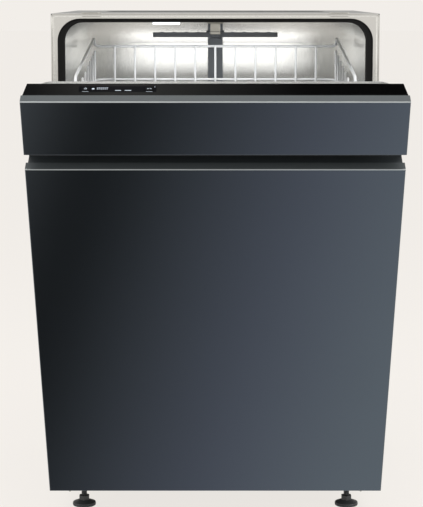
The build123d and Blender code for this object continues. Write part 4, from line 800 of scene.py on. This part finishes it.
# %% Cup shelf
low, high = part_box("cup_shelf")
shelf_z = (low.z + high.z) / 2
shelf_x0, shelf_x1 = low.x + WIRE / 2, high.x - WIRE / 2
shelf_y0, shelf_y1 = low.y + END, high.y - END
bm = bmesh.new()
bent_wire(bm, [(shelf_x0, shelf_y0, shelf_z), (shelf_x1, shelf_y0, shelf_z), (shelf_x1, shelf_y1, shelf_z),
               (shelf_x0, shelf_y1, shelf_z)], WIRE, 12 * MM, closed=True, sides=10)
for x in spaced(shelf_x0, shelf_x1, PITCH)[1:-1]:
    bent_wire(bm, [(x, shelf_y0, shelf_z), (x, shelf_y1, shelf_z)], WIRE)
for y in spaced(shelf_y0, shelf_y1, 1.2 * PITCH)[1:-1]:
    bent_wire(bm, [(shelf_x0, y, shelf_z), (shelf_x1, y, shelf_z)], WIRE)
drawn("cup_shelf_wires", bm, "cup_shelf")

# %% [markdown]
# ## Seals
# A seal is an extruded rubber lip. The plain strip gets a groove along its face, between two lips,
# and soft edges.

# %% Seals round the mouth and under the door
def lipped(node, name, facing, groove, depth, soft):
    """A strip whose face has a groove between two lips."""
    bm = merged(node)
    faces = [f for f in bm.faces if f.normal.dot(Vector(facing)) > 0.9]
    for thickness, sunk in ((groove, 0), (0.6 * MM, -depth)):
        bmesh.ops.inset_region(bm, faces=faces, thickness=thickness, depth=sunk, use_even_offset=True,
                               use_boundary=True)
    round_edges(bm, soft)
    finished(name, bm, node)


SEAL_SOFT = 0.5 * MM
lipped("door_seal", "mouth_seal", (0, -1, 0), 1.6 * MM, 1.5 * MM, SEAL_SOFT)
lipped("door_bottom_seal", "lower_edge_seal", -door_out, 2.5 * MM, 1.2 * MM, SEAL_SOFT)

# %% [markdown]
# ## Mouldings and folded sheet
# No real edge is a mathematical corner. Each of these keeps its solid, with edges rounded as its
# making rounds them: a little on folded sheet, more on moulded plastic.

# %% Softened sheet and mouldings
EDGES_MM = {
    "control_fascia": 0.6, "lower_rack_handle": 2.0, "upper_rack_handle": 2.0, "power_key": 0.2,
    "start_key": 0.2, "upper_rails": 0.6, "rail_slides": 0.6, "latch_striker": 0.6, "base_tray": 0.8,
    "circulation_pump": 2.0, "drain_pump": 1.5, "water_softener": 2.0, "water_inlet_valve": 1.5,
    "drain_spigot": 0.5, "power_inlet": 0.4, "rear_duct": 1.5, "interior_light": 0.8,
    "hinge_brackets": 0.4, "hinge_arms": 0.4, "sump": 1.0, "door_latch": 1.0, "worktop_brackets": 0.3,
    "salt_cap": 0.6, "rinse_aid_cap": 0.6, "dispenser_lid": 0.4, "detergent_dispenser": 0.6,
    "filter_cylinder": 0.5, "filter_plate": 0.25, "upper_feed_pipe": 1.0, "lower_spray_arm": 3.0,
    "upper_spray_arm": 2.5, "ceiling_spray_arm": 2.5}
for node, radius in EDGES_MM.items():
    soften(node, radius * MM)

# %% [markdown]
# ## Pressed sheet
# A large flat sheet drums and dents, so its maker presses a shallow field into it. We cut the field
# out of the flat with planes, round its corners, and sink it by an inset. Both skins of the sheet
# get the same field, one in and one out.

# %% Pressed fields
SLOPE = 3 * MM
CLEAN_EDGE = 0.25 * MM


def cut(bm, axis, value):
    """Cuts every face along the plane that crosses an axis at a value."""
    place, way = Vector(), Vector()
    place[axis], way[axis] = value, 1
    bmesh.ops.bisect_plane(bm, geom=bm.verts[:] + bm.edges[:] + bm.faces[:], plane_co=place,
                           plane_no=way, dist=0.001 * MM)


def field(bm, facing, low, high, corner, slope, depth):
    """Presses a field with round corners into the flat that faces one way."""
    facing = Vector(facing)
    axes = [i for i in range(3) if abs(facing[i]) < 0.5]
    for i in axes:
        for value in (low[i], high[i]):
            cut(bm, i, value)

    def inside():
        """Faces of the flat between the two corners, with 1 mm to spare along its normal."""
        spare = [0 if i in axes else MM for i in range(3)]
        return [face for face in bm.faces if face.normal.dot(facing) > 0.99 and all(
            low[i] - spare[i] < face.calc_center_median()[i] < high[i] + spare[i] for i in range(3))]

    bmesh.ops.dissolve_faces(bm, faces=inside(), use_verts=False)
    corners = [vert for vert in inside()[0].verts
               if all(min(abs(vert.co[i] - low[i]), abs(vert.co[i] - high[i])) < 0.01 * MM for i in axes)]
    bmesh.ops.bevel(bm, geom=corners, offset=corner, segments=6, profile=0.5, affect="VERTICES",
                    material=-1)
    face = max(inside(), key=lambda face: face.calc_area())
    bmesh.ops.inset_region(bm, faces=[face], thickness=slope, depth=depth, use_even_offset=True)


def pressed_sheet(node, facing, margin_low, margin_high, depth=2 * MM, corner=28 * MM):
    """A sheet node with one pressed field, at a margin from its edges."""
    bm = merged(node)
    low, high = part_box(node)
    low, high = low + Vector(margin_low) * MM, high - Vector(margin_high) * MM
    field(bm, facing, low, high, corner, SLOPE, -depth)
    field(bm, -Vector(facing), low, high, corner, SLOPE, depth)
    round_edges(bm, CLEAN_EDGE, 1, 60)
    finished(node + "_pressed", bm, node)


# Each with the way it faces, and the margins of its field in mm
pressed_sheet("left_side_panel", (-1, 0, 0), (0, 70, 110), (0, 70, 60))
pressed_sheet("right_side_panel", (1, 0, 0), (0, 70, 110), (0, 70, 60))
pressed_sheet("rear_panel", (0, 1, 0), (60, 0, 60), (60, 0, 60))
pressed_sheet("top_cover", (0, 0, 1), (60, 90, 0), (60, 60, 0))

# %% Tub sheets
FIELD_HEIGHTS = ((60 * MM, 260 * MM), (290 * MM, 460 * MM))
FIELD_FRONT = 70 * MM
FIELD_BACK = 60 * MM
FIELD_CORNER = 24 * MM
TUB_SLOPE = 6 * MM
TUB_DEPTH = 1.5 * MM
bm = merged("tub_wrap")
low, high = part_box("tub_wrap")
for side in (-1, 1):
    for z_low, z_high in FIELD_HEIGHTS:
        field_low = Vector((min(0, side), low.y + FIELD_FRONT, low.z + z_low))
        field_high = Vector((max(0, side), high.y - FIELD_BACK, low.z + z_high))
        for way, depth in ((side, TUB_DEPTH), (-side, -TUB_DEPTH)):
            field(bm, (way, 0, 0), field_low, field_high, FIELD_CORNER, TUB_SLOPE, depth)
finished("tub_wrap_pressed", bm, "tub_wrap")

# %% Flange round the mouth
# It has a rolled lip, then a narrow groove beside the seal. It is cut across first, so that the lip
# can end above the notches of the hinges.
CORNER_BAND = 70 * MM
bm = merged("tub_front_frame")
low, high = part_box("tub_front_frame")
for axis, middle in ((0, 0), (2, (low.z + high.z) / 2)):
    for value in (low[axis] + CORNER_BAND, middle, high[axis] - CORNER_BAND):
        cut(bm, axis, value)
front_faces = [face for face in bm.faces if face.normal.y < -0.9
               and face.calc_center_median().z > low.z + CORNER_BAND]
for thickness, depth in ((1.6, 0), (0.5, -0.8), (2.4, 0), (0.5, 0.8)):
    bmesh.ops.inset_region(bm, faces=front_faces, thickness=thickness * MM, depth=depth * MM,
                           use_even_offset=True, use_boundary=True)
finished("mouth_flange", bm, "tub_front_frame")

# %% [markdown]
# ## Door
# The pan inside the door has drafted walls with soft bends. The fronts are tinted steel: their folded
# tops are matt, and the bend between top and face gets a bright steel as a painted highlight.

# %% Door pan
DRAFTED = (35, 75)
bm = merged("door_liner")
drafted = [edge for edge in bm.edges
           if edge.is_manifold and DRAFTED[0] < math.degrees(edge.calc_face_angle()) < DRAFTED[1]]
round_edges(bm, 2.5 * MM, 3, edges=drafted)
finished("liner_pan", bm, "door_liner")

# %% Fronts
BEND = 1.1 * MM
# The third finish of a front is the painted highlight on its bend
FACE, FOLDED_TOP, PAINTED_HIGHLIGHT = range(3)
for node, name in (("upper_front_panel", "upper_front"), ("lower_front_panel", "lower_front")):
    bm = merged(node)
    bend = [edge for edge in bm.edges if edge.is_manifold
            and max(face.normal.dot(door_up) for face in edge.link_faces) > 0.99
            and max(face.normal.dot(door_out) for face in edge.link_faces) > 0.99]
    round_edges(bm, BEND, 3, edges=bend)
    round_edges(bm, CLEAN_EDGE, 2, 60)
    piece = finished(name, bm, node)
    # The bright steel of the bend is a painted highlight
    for part in ("front_edge", "painted_highlight_bend"):
        piece.data.materials.append(finish[part])
    for face in piece.data.polygons:
        upward, outward = face.normal.dot(door_up), face.normal.dot(door_out)
        if upward > 0.97:
            face.material_index = FOLDED_TOP
        elif upward > 0.15 and outward > 0.15:
            # Faces of the bend carry the painted highlight
            face.material_index = PAINTED_HIGHLIGHT
        else:
            face.material_index = FACE

# %% Grip and plain sheets
# The grip reaches almost to the ends of the fronts
GRIP_MARGIN = 3 * MM
bm = merged("grip_channel")
grip_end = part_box("grip_channel")[1].x
front_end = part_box("lower_front_panel")[1].x
bmesh.ops.scale(bm, vec=((front_end - GRIP_MARGIN) / grip_end, 1, 1), verts=bm.verts)
round_edges(bm, 0.8 * MM)
finished("grip_channel_formed", bm, "grip_channel")
for node, radius in (("door_shell", 0.3), ("display_window", 0.15), ("control_module", 1.5),
                     ("tub_rear_wall", 0.4), ("tub_floor", 0.3)):
    soften(node, radius * MM)

# %% [markdown]
# ## Screws, feet and springs
# A screw head is a disc whose middle is drawn to a cross and sunk. A foot is turned, with a hexagon
# for the spanner, and its thread is a small ridge spun and carried upwards at the same time. A
# spring is a circle of wire carried round in the same way.

# %% Screw heads
def screw_head(bm, centre, way, radius, height):
    """A pan head with a cross recess, facing one way."""
    before = set(bm.verts)
    made = bmesh.ops.create_circle(bm, cap_ends=True, segments=12, radius=radius * 0.8,
                                   matrix=Matrix.Rotation(math.radians(15), 4, "Z"))
    face = made["verts"][0].link_faces[0]
    rim = list(face.edges)
    bmesh.ops.inset_region(bm, faces=[face], thickness=radius * 0.2, depth=0)
    arm, half = radius * 0.55, radius * 0.14
    for vert in face.verts:
        x, y = abs(vert.co.x), abs(vert.co.y)
        new_x = arm if x > 1.5 * y else half
        new_y = arm if y > 1.5 * x else half
        vert.co.x, vert.co.y = math.copysign(new_x, vert.co.x), math.copysign(new_y, vert.co.y)
    bmesh.ops.inset_region(bm, faces=[face], thickness=0.05 * MM, depth=-height * 0.6)
    for spread, drop in ((1 / 0.8, height * 0.6), (1.0, height * 0.4)):
        ring, rim = pulled(bm, rim)
        bmesh.ops.scale(bm, vec=(spread, spread, 1), verts=ring)
        bmesh.ops.translate(bm, vec=(0, 0, -drop), verts=ring)
    bmesh.ops.contextual_create(bm, geom=rim)
    fresh = [vert for vert in bm.verts if vert not in before]
    turn = Vector(way).to_track_quat("Z", "Y").to_matrix().to_4x4()
    top = Matrix.Translation(Vector(centre) + Vector(way) * height) @ turn
    bmesh.ops.transform(bm, matrix=top, verts=fresh)


HEAD = 1.8 * MM
SHANK_RADIUS = 1.8 * MM
SHANK = 3 * MM
low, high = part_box("casing_screws")
screw_radius = (high.z - low.z) / 2
bm = bmesh.new()
for side in (-1, 1):
    for y in (low.y + screw_radius, (low.y + high.y) / 2, high.y - screw_radius):
        seat = Vector((side * (high.x - HEAD), y, (low.z + high.z) / 2))
        outward = Vector((side, 0, 0))
        screw_head(bm, seat, outward, screw_radius, HEAD)
        pin(bm, seat - outward * SHANK, seat + outward * 0.2 * MM, SHANK_RADIUS, 0.2 * MM, 12)
drawn("cross_head_screws", bm, "casing_screws")


# %% Threads and coils
def wound(bm, edges, verts, centre, axis, turns, rise, steps):
    """Carries a closed outline round an axis and along it, and closes both ends."""
    total = round(steps * turns)
    last = bmesh.ops.spin(bm, geom=verts + edges, cent=centre, axis=axis, angle=math.tau * turns,
                          steps=total, dvec=Vector(axis) * rise / total)["geom_last"]
    for rim in (edges, [g for g in last if isinstance(g, bmesh.types.BMEdge)]):
        bmesh.ops.contextual_create(bm, geom=rim)


def thread(bm, start, axis, radius, length, pitch, deep=0.6 * MM, steps=16):
    """A raised screw thread round a pin."""
    axis = Vector(axis)
    across = axis.orthogonal().normalized()
    root = Vector(start) + across * (radius - deep)
    corners = [root - axis * pitch * 0.35, Vector(start) + across * radius, root + axis * pitch * 0.35]
    verts = [bm.verts.new(corner) for corner in corners]
    edges = [bm.edges.new(pair) for pair in zip(verts, verts[1:] + verts[:1])]
    wound(bm, edges, verts, start, axis, length / pitch, length, steps)


print("threads and coils ready")

# %% Feet
FOOT_PAD = 20 * MM
NUT_RADIUS = 9.6 * MM
NUT_BASE = 9.5 * MM
NUT_HEIGHT = 8.5 * MM
ROD_BASE = 17 * MM
ROD_RADIUS = 4.4 * MM
THREAD_BASE = 19 * MM
# The thread starts above the nut and ends 2 mm below the top of the rod
BARE = 21 * MM
THREAD_RADIUS = 5 * MM
THREAD_PITCH = 2 * MM
# The domed pad from its sole upwards, as heights and radii
PAD_MM = ((0, 0), (0, 18), (0.8, 19.6), (3, 20), (3.4, 19.2), (3.8, 19.2), (4.2, 20), (6, 19.4), (8.5, 13),
          (10, 9.5), (10.5, 0))


def foot(bm, x, y, low, high):
    """A screw foot: a domed pad on a rubber sole, a hexagon and a threaded rod."""
    base = Vector((x, y, low))
    up = Vector((0, 0, 1))
    turned(bm, base, up, in_mm(PAD_MM), 40)
    made = bmesh.ops.create_circle(bm, cap_ends=True, segments=6, radius=NUT_RADIUS,
                                   matrix=Matrix.Translation(base + up * NUT_BASE))["verts"]
    top = bmesh.ops.extrude_face_region(bm, geom=list({f for v in made for f in v.link_faces}))["geom"]
    top = [g for g in top if isinstance(g, bmesh.types.BMVert)]
    bmesh.ops.translate(bm, vec=up * NUT_HEIGHT, verts=top)
    round_edges(bm, 0.6 * MM, edges=edges_at(made + top))
    pin(bm, base + up * ROD_BASE, base + up * (high - low), ROD_RADIUS, 0.5 * MM)
    thread(bm, base + up * THREAD_BASE, up, THREAD_RADIUS, high - low - BARE, THREAD_PITCH)


for node in ("front_foot_left", "front_foot_right", "rear_feet"):
    low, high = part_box(node)
    paired = high.x - low.x > 3 * FOOT_PAD
    bm = bmesh.new()
    for x in (low.x + FOOT_PAD, high.x - FOOT_PAD) if paired else ((low.x + high.x) / 2,):
        foot(bm, x, (low.y + high.y) / 2, low.z, high.z)
    drawn(node + "_threaded", bm, node)

# %% Door springs
SPRING_WIRE = 1.6 * MM
SPRING_RADIUS = 3.7 * MM
SPRING_TURNS = 10
HOOK = 8.5 * MM
HOOK_BEND = 1.2 * MM
STUD = 2.5 * MM
low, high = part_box("door_springs")
length = high.z - low.z - 2 * HOOK
loop = STUD + SPRING_WIRE / 2 + 0.1 * MM
bm = bmesh.new()
for side in (-1, 1):
    centre_x = side * (high.x - SPRING_RADIUS - SPRING_WIRE / 2)
    centre = Vector((centre_x, (low.y + high.y) / 2, low.z + HOOK))
    begin = Matrix.Translation(centre + Vector((SPRING_RADIUS, 0, 0)))
    ring = bmesh.ops.create_circle(bm, segments=8, radius=SPRING_WIRE / 2,
                                   matrix=begin @ Matrix.Rotation(math.pi / 2, 4, "X"))["verts"]
    wound(bm, edges_at(ring), ring, centre, (0, 0, 1), SPRING_TURNS, length, 20)
    for end, stud_z, way in ((centre.z, low.z - STUD, -1), (centre.z + length, high.z + STUD, 1)):
        hook = [(SPRING_RADIUS, 0, end), (0, -loop, end + way * 2 * MM), (0, -loop, stud_z + way * loop),
                (0, loop, stud_z + way * loop), (0, loop, stud_z - way * loop * 0.6)]
        bent_wire(bm, [(centre.x + x, centre.y + y, z) for x, y, z in hook], SPRING_WIRE, HOOK_BEND)
drawn("balance_springs", bm, "door_springs")

# %% [markdown]
# ## Jets of the spray arms
# Water leaves each blade through small raised jets, set in a slight zigzag.

# %% Jets
HUB = 30 * MM
TIP = 16 * MM
JET_PITCH = 24 * MM
ZIGZAG = 3.5 * MM
# A ring with a bore, as heights and radii
JET_MM = ((-0.4, 3.2), (0.2, 3), (0.9, 2.2), (0.9, 1.2), (-0.4, 1), (-0.4, 3.2))
for node in ("lower_spray_arm", "upper_spray_arm", "ceiling_spray_arm"):
    low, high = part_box(node)
    blade_top = low.z + 0.7 * (high.z - low.z)
    middle_y = (low.y + high.y) / 2
    bm = bmesh.new()
    for side in (-1, 1):
        for i, reach in enumerate(spaced(HUB, high.x - TIP, JET_PITCH)):
            seat = (side * reach, middle_y + (ZIGZAG if i % 2 else -ZIGZAG), blade_top)
            turned(bm, seat, (0, 0, 1), in_mm(JET_MM), 14)
    drawn(node + "_jets", bm, node, slot="filter_plastic")

# %% [markdown]
# ## Display
# Behind the dark glass glow a few generic signs. They are drawn upright, as if the door were shut,
# a hair above the glass, and swing with it.

# %% Glow of the signs
display_light, tree, shader, place = new_material("display_light")
flicker = add(tree, "ShaderNodeTexNoise", {"Scale": 900.0}, {"Vector": place}).outputs["Fac"]
glow = add(tree, "ShaderNodeValToRGB", links={"Fac": flicker})
glow.color_ramp.elements[0].color = rgb("#C9D6E6")
glow.color_ramp.elements[1].color = rgb("#F4F8FF")
tree.links.new(glow.outputs["Color"], shader.inputs["Emission Color"])
put(shader, {"Base Color": rgb("#20242A"), "Emission Strength": 0.9})
print("signs will glow")

# %% Shapes of the signs
# Each is a film that starts a hair above the glass
FILM = (0.04 * MM, 0.1 * MM)


def bar(bm, x, y, z, width, depth):
    """A small bar of light lying on the glass."""
    slab(bm, (x - width / 2, y - depth / 2, z + FILM[0]), (x + width / 2, y + depth / 2, z + FILM[1]))


def disc(bm, x, y, z, radius, steps=20, hole=0.0):
    """A small round or cornered spot of light, or a ring where it has a hole."""
    profile = [(FILM[0], hole), (FILM[0], radius), (FILM[1], radius), (FILM[1], hole)]
    turned(bm, (x, y, z), (0, 0, 1), profile + profile[:1] if hole else profile, steps)


def lit(name, bm, node):
    """Tips signs drawn upright with the door, and gives them to the piece they lie on."""
    bmesh.ops.transform(bm, matrix=swing, verts=bm.verts)
    drawn(name, bm, node, slot="light_lens").data.materials[0] = display_light


print("bars and discs ready")

# %% Signs in the window
# Two rows of short dashes stand for a programme line: how far back each lies, and its lengths, in mm
DASH_ROWS = ((10.6, (1.4, 2.6, 1.8, 2.2, 1.2, 2.4)), (7.4, (2.2, 1.2, 2.8, 1.6, 2.0, 1.4)))
DASH_START = 25 * MM
DASH_GAP = 0.8
LONG_BARS = ((50.8, 59.2), (64.5, 73.5))
glass_low, glass_high = upright_box("display_window")
left, front, glass = glass_low.x, glass_low.y, glass_high.z
bm = bmesh.new()
for row, lengths in DASH_ROWS:
    x = left + DASH_START
    for length in lengths:
        bar(bm, x + length * MM / 2, front + row * MM, glass, length * MM, 1.4 * MM)
        x += (length + DASH_GAP) * MM
for start, end in LONG_BARS:
    bar(bm, left + (start + end) / 2 * MM, front + 3.6 * MM, glass, (end - start) * MM, 1.5 * MM)
disc(bm, left + 19.7 * MM, front + 8 * MM, glass, 2 * MM)
disc(bm, glass_high.x - 2 * MM, front + 13 * MM, glass, 0.7 * MM, 12)
for node in ("power_key", "start_key"):
    key_low, key_high = upright_box(node)
    bar(bm, (key_low.x + key_high.x) / 2, key_low.y - 1.2 * MM, glass, 9 * MM, 0.5 * MM)
lit("display_signs", bm, "display_window")

# %% Signs on the keys
bm = bmesh.new()
key_low, key_high = upright_box("power_key")
middle = (key_low + key_high) / 2
disc(bm, middle.x, middle.y, key_high.z, 1.9 * MM, hole=1.3 * MM)
bar(bm, middle.x, middle.y + 1.6 * MM, key_high.z + 0.02 * MM, 0.6 * MM, 1.8 * MM)
lit("power_sign", bm, "power_key")

bm = bmesh.new()
key_low, key_high = upright_box("start_key")
middle = (key_low + key_high) / 2
disc(bm, middle.x - 2 * MM, middle.y, key_high.z, 1.5 * MM, 3)
for shift in (1.0, 2.4):
    bar(bm, middle.x + shift * MM, middle.y, key_high.z, 0.7 * MM, 2.6 * MM)
lit("start_sign", bm, "start_key")

# %% [markdown]
# Last, the nodes themselves get their finishes.

# %% Dress the frame
for node, slot in slot_of.items():
    nodes[node].data.materials.clear()
    nodes[node].data.materials.append(finish[slot])
print(len(slot_of), "nodes dressed")

bpy.context.scene.view_settings.view_transform = "Standard"
